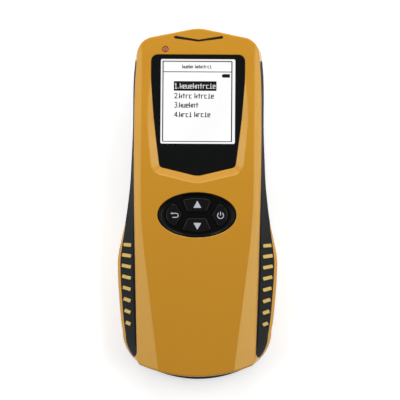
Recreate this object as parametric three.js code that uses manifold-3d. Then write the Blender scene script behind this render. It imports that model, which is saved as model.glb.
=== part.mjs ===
// A handheld rebar detector: a wheeled concrete cover meter that rolls over a wall or a slab.
// It lies on its four wheels. +Z is out of the screen, +Y is the head end, +X is the screen's right.
// The origin is on the floor under the middle of the box that holds the whole instrument.
import * as THREE from "three";
import { mergeVertices } from "three/addons/utils/BufferGeometryUtils.js";
import Module from "manifold-3d";

const wasm = await Module();
wasm.setup();

// Clearances and cutting reach
const fitGap = 0.2; // between pieces that are pressed or clipped together
const seatGap = 0.3; // under a piece that rests on a moulded, curved or moving seat
const slideGap = 0.3; // beside a piece that slides
const overrun = 20; // how far a cutting tool reaches past the wall it cuts

// Plan of the instrument
const bodyLength = 210;
const halfLength = bodyLength / 2;
const coverHalfWidth = 38.3;
const sideBulge = 1.1; // of the housing past the cover, where it has no flare
const flareSwell = 10.7; // of the flare past the cover
const sideHalfWidth = coverHalfWidth + sideBulge;
const flareHalfWidth = coverHalfWidth + flareSwell;
const headSlope = 0.204; // fall of the pointed head per unit of width
const headNoseHalf = 4.8; // half width of the rounded tip
const shoulderRadius = 10.6;
const coverTailRadius = 3.6;
const flareTailRadius = 24;
const tailCurveRadius = 86;
const baseTailCurveRadius = 66; // rounder than the cover's, so the base shows past its middle only
const coverTailInset = 1; // the base shows this far past the cover at the tail
const housingHeadInset = 0.6;
const housingTailInset = 1.3;

// Share of the half length, then share of the half width, from the head to the tail
const coverWidthShares = [
  [1, 0.975],
  [0.85, 0.985],
  [0.6, 1],
  [0.2, 0.998],
  [-0.21, 0.977],
  [-1, 0.918],
];
// Share of the half length, then share of the flare's swell
const flareSwellShares = [
  [1, 0],
  [0.43, 0.01],
  [0.26, 0.081],
  [0.12, 0.158],
  [-0.01, 0.311],
  [-0.095, 0.454],
  [-0.2, 0.745],
  [-0.3, 0.974],
  [-0.39, 0.99],
  [-0.51, 0.913],
  [-0.67, 0.745],
  [-0.81, 0.469],
  [-1, -0.02],
];
// How far the flare has grown, from none at the head to all of it
const flareGrowthShares = [
  [1, 0],
  [-0.08, 0],
  [-0.14, 0.3],
  [-0.3, 1],
  [-1, 1],
];
// Stations down the sides of every outline
const stationShares = [
  0.76, 0.6, 0.44, 0.28, 0.12, 0, -0.08, -0.16, -0.24, -0.32, -0.44, -0.58, -0.74,
];
const stationLeastGap = 1; // between the last stations and the tail's corner
const shoulderSteps = 3;
const tailCornerSteps = 3;
const tailCornerTries = 6; // to find where the side runs into the corner
const tailCornerLeast = 0.2; // radius left at the tail's corners in the inner walls
const tailCurveSteps = 3;

// Levels of the shells, measured up from the floor
const undersideZ = 3;
const baseHeight = 9;
const flareRise = 12.5; // from the base up to the widest line of the flare
const lipRise = 3.5; // from there up to the grips' lower edge
const gripHeight = 10; // from there up to the cover's seam
const gasketThick = 0.6;
const coverHeight = 9.6;
const baseSeamZ = undersideZ + baseHeight;
const flareZ = baseSeamZ + flareRise;
const gripEdgeZ = flareZ + lipRise;
const coverSeamZ = gripEdgeZ + gripHeight;
const coverBottomZ = coverSeamZ + gasketThick;
const faceCrownZ = coverBottomZ + coverHeight;

// Front cover
const coverWall = 2.4;
const coverRim = 1; // radius of the rounded edge
const facetSlope = 0.24; // fall of the side facets per unit of width
const faceDrop = 4.8; // from the crown down to the ends
const facetWidth = 4.8;
const facetTailWidth = 16.3;
const facetHalfWidth = coverHalfWidth - facetWidth;
const facetTailHalf = coverHalfWidth - facetTailWidth;
const facetLeast = 0.3;
// Share of the half length, then share of the face's drop
const faceProfileShares = [
  [1, 1.02],
  [0.86, 0.9],
  [0.73, 0.85],
  [0.5, 0.5],
  [0.2, 0.08],
  [-0.08, 0],
  [-0.45, 0.22],
  [-0.8, 0.66],
  [-1, 0.96],
];
const facetShares = [
  [1, 1],
  [0, 1],
  [-0.24, 0.95],
];

// Rear housing and its side grips
const housingWall = 1.6;
const gripThick = 1.2;
const gripTopGap = 0.4;
const gripLowRise = 1.5; // above the base's seam
const gripHeadMargin = 19; // from the tip of the head
const gripTailMargin = 13; // from the end of the tail
const gripTipShare = -0.076; // of the half length: where the grips' lower edge has climbed over the flare
const gripRampLength = 10;
const gripLowZ = baseSeamZ + gripLowRise;
const gripHeadY = halfLength - gripHeadMargin;
const gripTailY = -halfLength + gripTailMargin;
const gripTipY = gripTipShare * halfLength;
const gripRampY = gripTipY + gripRampLength;
const flareLip = 2.1; // width of the flare's edge seen from the front
const flareUndercut = 3.6;
const housingTaper = 0.6;
const groovePlay = 0.1; // the housing's top edge stands this far past the cover

// Ribs of the housing that show through the grips
const ribCount = 8;
const ribWidth = 2;
const ribProud = 0.35;
const ribFirstShare = -0.237; // of the half length
const ribLastShare = -0.686;
const ribPitchGrowthShare = 0.01; // each gap is this much wider than the one before
const ribInnerMargin = 1.6; // from the cover's side
const ribInnerX = coverHalfWidth + ribInnerMargin;
const ribOuterMargin = 0.9;
const ribFirstTilt = 8;
const ribLastTilt = 25;

// Base
const baseFloor = 2;
const baseWall = 2.2;
const baseEdgeInset = 1.9;
const baseEdgeRise = 1.6;
const baseHeadInset = 1;

// Window and display
const windowSideMargin = 10;
const windowHeadMargin = 16.2;
const windowLength = 72.4;
const windowHalfWidth = coverHalfWidth - windowSideMargin;
const windowTopY = halfLength - windowHeadMargin;
const windowPointY = windowTopY - windowLength;
const lensThick = 1.3;
const lensRecess = 0.35; // below the cover's face at the head end of the window
const lensGasketThick = 0.4;
const lensLedge = 2.2;
const ledgeThick = 1.4;
const pocketWall = 1.6;
// Half of the window's outline and of its bevel's, from the head end round to the point of the V:
// share of the window's half width, then share of its length
const windowShares = [
  [0, 1],
  [0.855, 1],
  [0.958, 0.983],
  [1, 0.943],
  [1, 0.808],
  [0.968, 0.626],
  [0.933, 0.4645],
  [0.89, 0.3196],
  [0.834, 0.154],
  [0.809, 0.1],
  [0.749, 0.071],
  [0.141, 0.0145],
  [0, 0.0076],
];
const bevelShares = [
  [0, 1],
  [0.855, 1],
  [0.958, 0.983],
  [1, 0.943],
  [1.004, 0.808],
  [1.046, 0.626],
  [1.057, 0.4645],
  [1.034, 0.3196],
  [1, 0.154],
  [0.972, 0.071],
  [0.898, 0.018],
  [0.141, -0.053],
  [0, -0.0615],
];
const displaySideMargin = 5.8; // from the window's sides
const displayHeadMargin = 2.3; // from the window's head end
const displayTailMargin = 19.1; // from the point of the window's V
const displayWidth = 2 * (windowHalfWidth - displaySideMargin);
const displayLength = windowLength - displayHeadMargin - displayTailMargin;
const displayCentreY = windowTopY - displayHeadMargin - displayLength / 2;
const displayThick = 1.8;
const displayBezel = 2.8;
const displayFrameThick = 3;
const displayFrameRecess = 0.2;

// Keypad
const keypadGap = 10.19; // from the point of the window
const keypadHalfWidth = 23.7;
const keypadHalfHeight = 13.56;
const keypadCentreY = windowPointY - keypadGap - keypadHalfHeight;
const dishRecess = 0.9;
const dishFloorThick = 1.5;
const dishRimWidth = 0.5;
const dishBevel = 1.1;
const surroundFlange = 1.2;
const surroundFlangeThick = 1;
const surroundSkirt = 1;
// Corners of the keys as shares of the keypad's half width, across, and half height, up
const upKeyShares = { topHalf: 0.35, bottomHalf: 0.236, top: 0.76, bottom: 0.15 };
const sideKeyShares = { inner: 0.384, corner: 0.553, outer: 0.776, top: 0.516, middle: 0.574 };
const keyArch = 0.5;
const keyCorner = 0.9;
const keyProud = 0.55; // above the rim of the dish
const keyBevel = 0.45;
const keyFlange = 0.5;
const keyFlangeThick = 0.9;
const keyStemRadius = 1.6;
const keyStemLength = 0.5;
const keyTravel = 0.9;
const domeRadius = 2.6;
const domeHeight = 0.4;
const domeGap = 0.2; // left under a pressed key
const boardThick = 1.6;

// Indicator lamp
const lampX = -19.7;
const lampHeadMargin = 12.5;
const lampY = halfLength - lampHeadMargin;
const lampRadius = 1.45;
const lampRingRadius = 2.05;
const lampRingDepth = 0.5;
const lampProud = 0.15;
const lampFlangeRadius = 1.95;
const lampFlangeThick = 1.2;

// Sounder and its chevron slot
const slotHalfWidth = 13.8;
const slotEndMargin = 5.4; // from the tip of the head
const slotDip = 2.3; // of the chevron's middle below its ends
const slotEndY = halfLength - slotEndMargin;
const slotMiddleY = slotEndY - slotDip;
const slotEndHalf = 0.7;
const slotMiddleHalf = 0.36;
const grilleRecess = 0.3;
const sounderHeadMargin = 10;
const sounderY = halfLength - sounderHeadMargin;
const sounderRadius = 4.2;
const sounderHeight = 3.6;
const sounderPortRadius = 1.2;
const sounderPortDepth = 1;

// Main board and what stands on it
const boardSideMargin = 9.3; // from the cover's sides
const boardHeadMargin = 14.5;
const boardTailMargin = 9;
const boardBossGap = 1.5;
const boardStepGap = 3.9;
const boardHalfWidth = coverHalfWidth - boardSideMargin;
const boardHeadY = halfLength - boardHeadMargin;
const boardTailY = -halfLength + boardTailMargin;
const chipWidth = 14;
const chipThick = 1.6;
const chipShare = -0.4; // of the half length
const chipY = chipShare * halfLength;
const socketWidth = 8.9;
const socketHeight = 3.2;
const socketDepth = 6.6;
const socketWall = 0.4;
const socketGap = 0.6; // behind the curved wall of the tail
const boardRibHeadMargin = 37;
const boardRibTailShare = -0.314; // of the half length
const boardRibThick = 5;
const boardRibHeight = 6;
const boardRibReach = 2.5; // under the board's edge
const boardRibHeadY = halfLength - boardRibHeadMargin;
const boardRibTailY = boardRibTailShare * halfLength;
const boardRibInnerX = boardHalfWidth - boardRibReach;

// Screws that close the case
const screwHeadSideMargin = 7.3; // from the cover's sides
const screwTailSideMargin = 9.7;
const screwHeadMargin = 17.5;
const screwTailMargin = 13;
const screwHeadX = coverHalfWidth - screwHeadSideMargin;
const screwTailX = coverHalfWidth - screwTailSideMargin;
const screwHeadY = halfLength - screwHeadMargin;
const screwTailY = -halfLength + screwTailMargin;
const screwShankRadius = 1.5;
const screwHeadRadius = 2.75;
const screwHeadThick = 2.2;
const screwSinkDepth = 0.6;
const screwBite = 2; // how far a screw reaches into the cover
const screwDriveRadius = 1.3;
const screwDriveDepth = 1;
const bossWall = 1.9;
const bossRadius = screwShankRadius + fitGap + bossWall;
const boardNarrowHalf = Math.min(screwHeadX, screwTailX) - bossRadius - boardBossGap;
const boardStepHeadY = screwHeadY - bossRadius - boardStepGap;
const boardStepTailY = screwTailY + bossRadius + boardStepGap;

// Wheels and axles
const wheelRadius = 12;
const wheelWidth = 7;
const wheelSideMargin = 4.7; // from the cover's sides
const wheelInnerX = coverHalfWidth - wheelSideMargin - wheelWidth;
const wheelFacets = 18;
const tyreThick = 2.6;
const tyreShoulder = 0.9;
const hubEdge = 0.4; // the rim stands this far inside the tyre
const hubBore = 2.2;
const hubBoss = 4;
const hubWebThick = 3;
const hubRimThick = 1.4;
const axleRadius = 2;
const axleTailMargin = 35; // from the end of the tail
const axleTailY = -halfLength + axleTailMargin;
const archGap = 0.8;
const archSideGap = 0.7;
const archWall = 1.2;
const bushRadius = 3.5;
const bushProud = 0.3;

// Travel encoder
const gearModule = 0.8;
const driveTeeth = 15;
const encoderTeeth = 10;
const gearAddendumShare = 0.72;
const gearDedendumShare = 1.15;
const toothFootShare = 0.56;
const toothTipShare = 0.2;
const gearWidth = 4;
const gearX = -12;
const gearMeshGap = 0.12;
const encoderRise = 60; // degrees, from the level towards the head up to the encoder's shaft
const encoderShaftRadius = 1.2;
const discX = -5.5;
const discRadius = 7;
const discThick = 0.8;
const discSlots = 12;
const discSlotDepth = 1.8;
const discSlotWidth = 1.1;
const discHub = 2.6;
const discHubWidth = 3;
const bracketThick = 2;
const bracketReach = 6.6;
const bracketHalfSpan = 9;
const bracketCentreX = -9;
const bracketFootThick = 1.5;
const bracketFootLength = 4.5;
const bracketSetback = 2.6;
const sensorWidth = 6;
const sensorLength = 8;
const sensorSlot = 2;
const sensorSlotDepth = 4.6;
const sensorOverlap = 3;

// Search coils
const coilHeadGap = 20; // from the head axle
const coilTailGap = 17.34; // from the encoder's bracket
const bobbinHalfWidth = 21;
const bobbinCorner = 9;
const bobbinWall = 3;
const bobbinFlange = 3.4;
const bobbinFlangeThick = 1.4;
const transmitHeight = 5.4;
const receiveHeight = 3.4;
const windingGap = 0.5;

// Battery
const batterySideMargin = 15.3; // from the cover's sides
const batteryHeadMargin = 11;
const batteryLength = 46;
const batteryHalfWidth = coverHalfWidth - batterySideMargin;
const batteryHeadY = halfLength - batteryHeadMargin;
const batteryTailY = batteryHeadY - batteryLength;
const axleHeadGap = 15; // from the battery to the head axle
const axleHeadY = batteryTailY - axleHeadGap;
const batteryThick = 16;
const batteryCorner = 4;
const bayGap = 1.3;
const bayWall = 2;
const connectorHalfWidth = 7;
const connectorThick = 2.6;
const connectorHeight = 9;
const doorLanding = 0.7; // the bay's wall stands this far on the floor, outside the door's slot
const doorTongue = 1.3;
const doorTongueThick = 0.8;
const doorTailY = batteryTailY + fitGap;
const doorGrooveCount = 4;
const doorGroovePitch = 3;
const doorGrooveWidth = 1.2;
const doorGrooveDepth = 0.5;
const doorGrooveHalf = 9;
const doorGrooveMargin = 21;
const doorGrooveY = halfLength - doorGrooveMargin;

// Port flap at the tail
const flapHalfWidth = 8.6;
const flapHeight = 9.2;
const flapThick = 1.4;
const flapRecess = 0.3;
const flapDrop = 1.6; // below the cover's seam
const flapTopZ = coverSeamZ - flapDrop;
const flapHingeRadius = 0.7;
const portHalfWidth = 6;
const portHeight = 5;

const degree = Math.PI / 180;

// Finishes
const finish = (color, roughness, metalness) =>
  new THREE.MeshStandardMaterial({ color, roughness, metalness });
const yellowShell = finish(0xc8963c, 0.45, 0);
const blackShell = finish(0x1d1d1f, 0.5, 0);
const gripRubber = finish(0x323234, 0.75, 0);
const tyreRubber = finish(0x151515, 0.85, 0);
const lensFinish = finish(0x1c1e1d, 0.12, 0);
const screenFinish = finish(0xf2f4f6, 0.3, 0);
const lampFinish = finish(0xba645a, 0.25, 0);
const boardFinish = finish(0x1f5a38, 0.5, 0);
const chipFinish = finish(0x202022, 0.55, 0);
const steelFinish = finish(0xb8bcc0, 0.3, 1);
const copperFinish = finish(0xb0662e, 0.35, 0.9);
const nylonFinish = finish(0xd9d6cc, 0.6, 0);
const batteryFinish = finish(0x2c3f66, 0.4, 0);

// Solids from three.js geometries
function solidOf(geometry) {
  const bare = geometry.clone();
  bare.deleteAttribute("normal");
  bare.deleteAttribute("uv");
  const merged = mergeVertices(bare, 1e-4);
  const corners = [];
  for (let i = 0; i < merged.index.count; i += 3) {
    const [a, b, c] = [0, 1, 2].map((k) => merged.index.getX(i + k));
    if (a !== b && b !== c && c !== a) corners.push(a, b, c);
  }
  const close = (order) =>
    new wasm.Manifold(
      new wasm.Mesh({
        numProp: 3,
        vertProperties: new Float32Array(merged.attributes.position.array),
        triVerts: new Uint32Array(order),
      }),
    );
  const solid = close(corners);
  return solid.volume() < 0 ? close(corners.reverse()) : solid;
}

function geometryOf(solid) {
  const mesh = solid.getMesh();
  const places = new Float32Array(mesh.numVert * 3);
  for (let i = 0; i < mesh.numVert; i += 1) {
    const start = i * mesh.numProp;
    places.set(mesh.vertProperties.subarray(start, start + 3), i * 3);
  }
  const geometry = new THREE.BufferGeometry();
  geometry.setAttribute("position", new THREE.BufferAttribute(places, 3));
  geometry.setIndex(new THREE.BufferAttribute(new Uint32Array(mesh.triVerts), 1));
  return geometry;
}

const joined = (solids) => solids.reduce((all, one) => all.add(one));
const cutBy = (solid, tools) => tools.reduce((rest, tool) => rest.subtract(tool), solid);

const group = new THREE.Group();
function piece(name, solid, material) {
  const geometry = geometryOf(solid).toNonIndexed();
  geometry.computeVertexNormals();
  const mesh = new THREE.Mesh(geometry, material);
  mesh.name = name;
  group.add(mesh);
  return mesh;
}

// A box between two corners
function block([x0, y0, z0], [x1, y1, z1]) {
  const box = new THREE.BoxGeometry(x1 - x0, y1 - y0, z1 - z0);
  box.translate((x0 + x1) / 2, (y0 + y1) / 2, (z0 + z1) / 2);
  return solidOf(box);
}

// A flat outline in X and Y, raised from one level to another
function prism(outline, z0, z1, curveSegments = 12) {
  const shape = outline instanceof THREE.Shape ? outline : new THREE.Shape(outline);
  const raised = new THREE.ExtrudeGeometry(shape, {
    depth: z1 - z0,
    bevelEnabled: false,
    curveSegments,
  });
  raised.translate(0, 0, z0);
  return solidOf(raised);
}

// A cylinder that stands up
function post(radius, x, y, z0, z1, facets = 12) {
  const round = new THREE.CylinderGeometry(radius, radius, z1 - z0, facets);
  round.rotateX(Math.PI / 2);
  round.translate(x, y, (z0 + z1) / 2);
  return solidOf(round);
}

// A cylinder along X
function rod(radius, x0, x1, y, z, facets = 12) {
  const round = new THREE.CylinderGeometry(radius, radius, x1 - x0, facets);
  round.rotateZ(Math.PI / 2);
  round.translate((x0 + x1) / 2, y, z);
  return solidOf(round);
}

// A side view in Y and Z, carried along X
function acrossX(shape, x0, x1) {
  const carried = new THREE.ExtrudeGeometry(shape, { depth: x1 - x0, bevelEnabled: false });
  carried.rotateX(Math.PI / 2);
  carried.rotateZ(Math.PI / 2);
  carried.translate(x0, 0, 0);
  return solidOf(carried);
}

// A turned profile about an axis along X, resting on a flat facet: each point is a radius and a place
function turnedAlongX(profile, facets, x, y, z) {
  const toFlat = 1 / Math.cos(Math.PI / facets);
  const points = profile.map(([radius, along]) => new THREE.Vector2(radius * toFlat, along));
  const turned = new THREE.LatheGeometry([...points, points[0]], facets);
  turned.rotateZ(-Math.PI / 2);
  turned.rotateX(Math.PI / facets);
  turned.translate(x, y, z);
  return solidOf(turned);
}

// A rectangle with rounded corners
function roundedBox(halfWidth, halfHeight, corner, x, y) {
  const shape = new THREE.Shape();
  const [left, right, low, high] = [x - halfWidth, x + halfWidth, y - halfHeight, y + halfHeight];
  shape.moveTo(left + corner, low);
  shape.lineTo(right - corner, low);
  shape.absarc(right - corner, low + corner, corner, -Math.PI / 2, 0);
  shape.lineTo(right, high - corner);
  shape.absarc(right - corner, high - corner, corner, 0, Math.PI / 2);
  shape.lineTo(left + corner, high);
  shape.absarc(left + corner, high - corner, corner, Math.PI / 2, Math.PI);
  shape.lineTo(left, low + corner);
  shape.absarc(left + corner, low + corner, corner, Math.PI, (Math.PI * 3) / 2);
  return shape;
}

// A smooth function through points listed from the highest y to the lowest
function through(shares, yScale, valueScale) {
  const points = shares.map(([y, value]) => [y * yScale, value * valueScale]);
  const slope = (i) => {
    const before = points[Math.max(i - 1, 0)];
    const after = points[Math.min(i + 1, points.length - 1)];
    return (after[1] - before[1]) / (after[0] - before[0]);
  };
  return (y) => {
    if (y >= points[0][0]) return points[0][1];
    const last = points.length - 1;
    if (y <= points[last][0]) return points[last][1];
    const i = points.findIndex((point, k) => k < last && y <= point[0] && y > points[k + 1][0]);
    const span = points[i + 1][0] - points[i][0];
    const t = (y - points[i][0]) / span;
    const h1 = t * t * (3 - 2 * t);
    const h2 = t * (1 - t) * (1 - t);
    const h3 = t * t * (t - 1);
    return points[i][1] * (1 - h1) + points[i + 1][1] * h1 + span * (slope(i) * h2 + slope(i + 1) * h3);
  };
}

const coverWidthAt = through(coverWidthShares, halfLength, coverHalfWidth);
const flareSwellAt = through(flareSwellShares, halfLength, flareHalfWidth - sideHalfWidth);
const flareWidthAt = (y) => sideHalfWidth + flareSwellAt(y);
const flareGrowthAt = through(flareGrowthShares, halfLength, 1);
const faceFallAt = through(faceProfileShares, halfLength, faceDrop);
const faceZAt = (y) => faceCrownZ - faceFallAt(y);
const gripEdgeWidthAt = (y) => flareWidthAt(y) - flareLip * flareGrowthAt(y);
const baseWidthAt = (y) => flareWidthAt(y) - housingTaper - flareUndercut * flareGrowthAt(y);
const grooveWidthAt = (y) => coverWidthAt(y) + groovePlay;

// The right half of a plan outline, from the tip of the head to the middle of the tail
function halfOutline(plan) {
  const { widthAt, headInset = 0, tailInset = 0, tailRadius, inset = 0 } = plan;
  const { tailCurve = tailCurveRadius } = plan;
  const width = (y) => widthAt(y) - inset;
  const tipY = halfLength - headInset - inset;
  const lineY = (x) => tipY + headSlope * headNoseHalf * 0.5 - headSlope * x;
  const points = [0, 0.5].map((share) => {
    const x = share * headNoseHalf;
    return [x, tipY - (headSlope * x * x) / (2 * headNoseHalf)];
  });
  points.push([headNoseHalf, lineY(headNoseHalf)]);
  const radius = shoulderRadius - inset;
  const shoulderX = width(halfLength - shoulderRadius) - radius;
  const shoulderY = lineY(shoulderX) - radius * Math.hypot(1, headSlope);
  const startAngle = Math.atan2(1, headSlope);
  for (let i = 0; i <= shoulderSteps; i += 1) {
    const angle = startAngle * (1 - i / shoulderSteps);
    points.push([shoulderX + radius * Math.cos(angle), shoulderY + radius * Math.sin(angle)]);
  }
  const corner = Math.max(tailRadius - inset, tailCornerLeast);
  const curve = tailCurve - inset;
  const curveY = -halfLength + tailInset + tailCurve;
  let cornerX = 0;
  let cornerY = -halfLength + tailRadius;
  for (let i = 0; i < tailCornerTries; i += 1) {
    cornerX = width(cornerY) - corner;
    cornerY = curveY - Math.sqrt((curve - corner) ** 2 - cornerX ** 2);
  }
  stationShares.forEach((share, i) => {
    const lowestY = cornerY + stationLeastGap * (stationShares.length - i);
    const y = Math.max(share * halfLength, lowestY);
    points.push([width(y), y]);
  });
  const endAngle = Math.atan2(cornerY - curveY, cornerX);
  for (let i = 0; i <= tailCornerSteps; i += 1) {
    const angle = (endAngle * i) / tailCornerSteps;
    points.push([cornerX + corner * Math.cos(angle), cornerY + corner * Math.sin(angle)]);
  }
  for (let i = 1; i <= tailCurveSteps; i += 1) {
    const angle = endAngle + ((-Math.PI / 2 - endAngle) * i) / tailCurveSteps;
    points.push([curve * Math.cos(angle), curveY + curve * Math.sin(angle)]);
  }
  points[points.length - 1][0] = 0;
  return points;
}

// A ring of points from half an outline: the right side down to the tail, then the left side back up
function ring(half, zAt) {
  const height = typeof zAt === "function" ? zAt : () => zAt;
  const right = half.map(([x, y], i) => new THREE.Vector3(x, y, height(x, y, i)));
  const left = right.slice(1, -1).reverse();
  return [...right, ...left.map((p) => new THREE.Vector3(-p.x, p.y, p.z))];
}

// A closed solid through rings of equal count, from the lowest to the highest
function loft(rings) {
  const count = rings[0].length;
  const places = rings.flat().flatMap((p) => [p.x, p.y, p.z]);
  const faces = [];
  for (let level = 0; level < rings.length - 1; level += 1) {
    for (let i = 0; i < count; i += 1) {
      const a = level * count + i;
      const b = level * count + ((i + 1) % count);
      faces.push(a, a + count, b, b, a + count, b + count);
    }
  }
  const top = (rings.length - 1) * count;
  for (let i = 0; i < count / 2; i += 1) {
    const left = (count - i) % count;
    const nextLeft = count - i - 1;
    if (i > 0) faces.push(top + i, top + left, top + i + 1, left, i, i + 1);
    if (i + 1 < count / 2) faces.push(top + i + 1, top + left, top + nextLeft, left, i + 1, nextLeft);
  }
  const geometry = new THREE.BufferGeometry();
  geometry.setAttribute("position", new THREE.BufferAttribute(new Float32Array(places), 3));
  geometry.setIndex(faces);
  return solidOf(geometry);
}

// Outlines of the shells at their levels
const coverPlan = { widthAt: coverWidthAt, tailInset: coverTailInset, tailRadius: coverTailRadius };
const housingPlan = { headInset: housingHeadInset, tailInset: housingTailInset };
const groovePlan = { ...housingPlan, widthAt: grooveWidthAt, tailRadius: coverTailRadius };
const gripEdgePlan = { ...housingPlan, widthAt: gripEdgeWidthAt, tailRadius: flareTailRadius - flareLip };
const flarePlan = { ...housingPlan, widthAt: flareWidthAt, tailRadius: flareTailRadius };
const baseCornerRadius = flareTailRadius - flareUndercut;
const footPlan = { widthAt: baseWidthAt, tailRadius: baseCornerRadius, tailCurve: baseTailCurveRadius };
const basePlan = { ...footPlan, headInset: baseHeadInset };
const housingFootPlan = { ...footPlan, ...housingPlan };

const planOf = (plan, inset = 0) => halfOutline({ ...plan, inset });

// Body of the rear housing: it swells from the base to the flare and leans in to the cover
function housingBody(inset, beyond = 0) {
  return loft([
    ...(beyond > 0 ? [ring(planOf(housingFootPlan, inset), baseSeamZ - beyond)] : []),
    ring(planOf(housingFootPlan, inset), baseSeamZ),
    ring(planOf(flarePlan, inset), flareZ),
    ring(planOf(gripEdgePlan, inset), gripEdgeZ),
    ring(planOf(groovePlan, inset), coverSeamZ),
    ...(beyond > 0 ? [ring(planOf(groovePlan, inset), coverSeamZ + beyond)] : []),
  ]);
}

// Skin of the front cover: wall, rounded edge, side facets and the crowned face
function coverSkin(inset, bottomZ) {
  const outer = planOf(coverPlan, inset);
  const edge = planOf(coverPlan, inset + coverRim);
  const between = planOf(coverPlan, inset + coverRim * (1 - Math.SQRT1_2));
  const facetTop = facetHalfWidth - inset;
  const bend = facetShares.at(-1);
  const bendY = bend[0] * halfLength;
  const upperFacetAt = through(facetShares, halfLength, facetTop);
  const lowerFacetAt = (y) => {
    const share = (bendY - y) / (bendY + halfLength);
    return facetTop * bend[1] + (facetTailHalf - inset - facetTop * bend[1]) * share;
  };
  const facetAt = (y) => (y > bendY ? upperFacetAt(y) : lowerFacetAt(y));
  const inner = edge.map(([x, y]) => [Math.max(Math.min(x - facetLeast, facetAt(y)), 0), y]);
  const faceAt = (y) => faceZAt(y) - inset;
  const edgeZ = (i) => {
    const width = Math.max(edge[i][0] - inner[i][0] - facetLeast, 0);
    return faceAt(inner[i][1]) - facetSlope * width;
  };
  return loft([
    ring(outer, bottomZ),
    ring(outer, (x, y, i) => edgeZ(i) - coverRim),
    ring(between, (x, y, i) => edgeZ(i) - coverRim * (1 - Math.SQRT1_2)),
    ring(edge, (x, y, i) => edgeZ(i)),
    ring(inner, (x, y) => faceAt(y)),
  ]);
}

// The window's outlines, given how far they stand inside or outside the opening
function windowHalf(shares, grow = 0) {
  const centreY = windowTopY - windowLength / 2;
  const alongScale = 1 + (2 * grow) / windowLength;
  return shares.map(([x, y]) => {
    const flatY = windowPointY + y * windowLength;
    return [x * (windowHalfWidth + grow), centreY + (flatY - centreY) * alongScale];
  });
}

const lensTopZ = faceZAt(windowTopY) - lensRecess;
const lensBottomZ = lensTopZ - lensThick;
const ledgeTopZ = lensBottomZ - lensGasketThick;
const ledgeBottomZ = ledgeTopZ - ledgeThick;
const boardTopZ = ledgeBottomZ - seatGap - displayFrameThick;
const boardBottomZ = boardTopZ - boardThick;

const straight = (half, z0, z1) => loft([ring(half, z0), ring(half, z1)]);

// Keypad levels
const keypadReach = keypadHalfHeight + surroundFlange;
const keypadFaceZ = Math.min(faceZAt(keypadCentreY + keypadReach), faceZAt(keypadCentreY - keypadReach));
const dishRimZ = keypadFaceZ - fitGap;
const dishFloorZ = dishRimZ - dishRecess;
const dishUnderZ = dishFloorZ - dishFloorThick;
const keyFlangeTopZ = dishUnderZ - fitGap;
const keyStemBottomZ = keyFlangeTopZ - keyFlangeThick - keyStemLength;
const domeTopZ = keyStemBottomZ - keyTravel - domeGap;
const keyBoardTopZ = domeTopZ - domeHeight;
const surroundFlangeTopZ = keypadFaceZ - coverWall - seatGap;

// An upright cylinder with an oval section, set at the keypad
function oval(halfWidth, halfHeight, z0, z1) {
  const shape = new THREE.Shape();
  shape.absellipse(0, keypadCentreY, halfWidth, halfHeight, 0, Math.PI * 2);
  return prism(shape, z0, z1, 24);
}

const screwPlaces = [
  [-screwHeadX, screwHeadY],
  [screwHeadX, screwHeadY],
  [-screwTailX, screwTailY],
  [screwTailX, screwTailY],
];

// A V-shaped slot that follows the head, thicker at its ends
function chevron(clearance, z0, z1) {
  const endHalf = slotEndHalf - clearance;
  const middleHalf = slotMiddleHalf - clearance;
  const reach = slotHalfWidth - clearance - endHalf;
  const shape = new THREE.Shape();
  shape.moveTo(0, slotMiddleY - middleHalf);
  shape.lineTo(reach, slotEndY - endHalf);
  shape.absarc(reach, slotEndY, endHalf, -Math.PI / 2, Math.PI / 2);
  shape.lineTo(0, slotMiddleY + middleHalf);
  shape.lineTo(-reach, slotEndY + endHalf);
  shape.absarc(-reach, slotEndY, endHalf, Math.PI / 2, (Math.PI * 3) / 2);
  return prism(shape, z0, z1, 6);
}

// Front cover
const coverOuter = coverSkin(0, coverBottomZ);
const windowRing = windowHalf(windowShares);
const bevelRing = windowHalf(bevelShares);
const pocketBlock = straight(windowHalf(bevelShares, pocketWall), ledgeBottomZ, faceCrownZ + overrun);
const lensPocket = loft([
  ring(windowRing, ledgeTopZ),
  ring(windowRing, lensTopZ),
  ring(bevelRing, (x, y) => faceZAt(y)),
  ring(bevelRing, faceCrownZ + overrun),
]);
const ledgeHalf = windowHalf(windowShares, -lensLedge);
const coverBosses = screwPlaces.map(([x, y]) => post(bossRadius, x, y, coverBottomZ, faceCrownZ));
const lampFaceZ = faceZAt(lampY);
const frontCover = cutBy(
  joined([
    coverOuter.subtract(coverSkin(coverWall, coverBottomZ - overrun)),
    pocketBlock.intersect(coverOuter),
    joined(coverBosses).intersect(coverOuter),
  ]),
  [
    lensPocket,
    straight(ledgeHalf, coverBottomZ, lensTopZ),
    oval(keypadHalfWidth, keypadHalfHeight, coverBottomZ, faceCrownZ + overrun),
    post(lampRadius + fitGap, lampX, lampY, coverBottomZ, faceCrownZ),
    post(lampRingRadius, lampX, lampY, lampFaceZ - lampRingDepth, faceCrownZ),
    chevron(0, coverBottomZ, faceCrownZ),
    ...screwPlaces.map(([x, y]) =>
      post(screwShankRadius + fitGap, x, y, coverBottomZ - overrun, coverBottomZ + screwBite + seatGap),
    ),
  ],
);
piece("front_cover", frontCover, yellowShell);

// Seal between the cover and the housing
const sealInset = 0.9;
const sealWidth = 0.7;
const sealOuter = straight(planOf(groovePlan, sealInset), coverSeamZ, coverBottomZ);
const sealInner = planOf(groovePlan, sealInset + sealWidth);
const seal = sealOuter.subtract(straight(sealInner, coverSeamZ - overrun, coverBottomZ + overrun));
piece("housing_gasket", seal, gripRubber);

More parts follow.
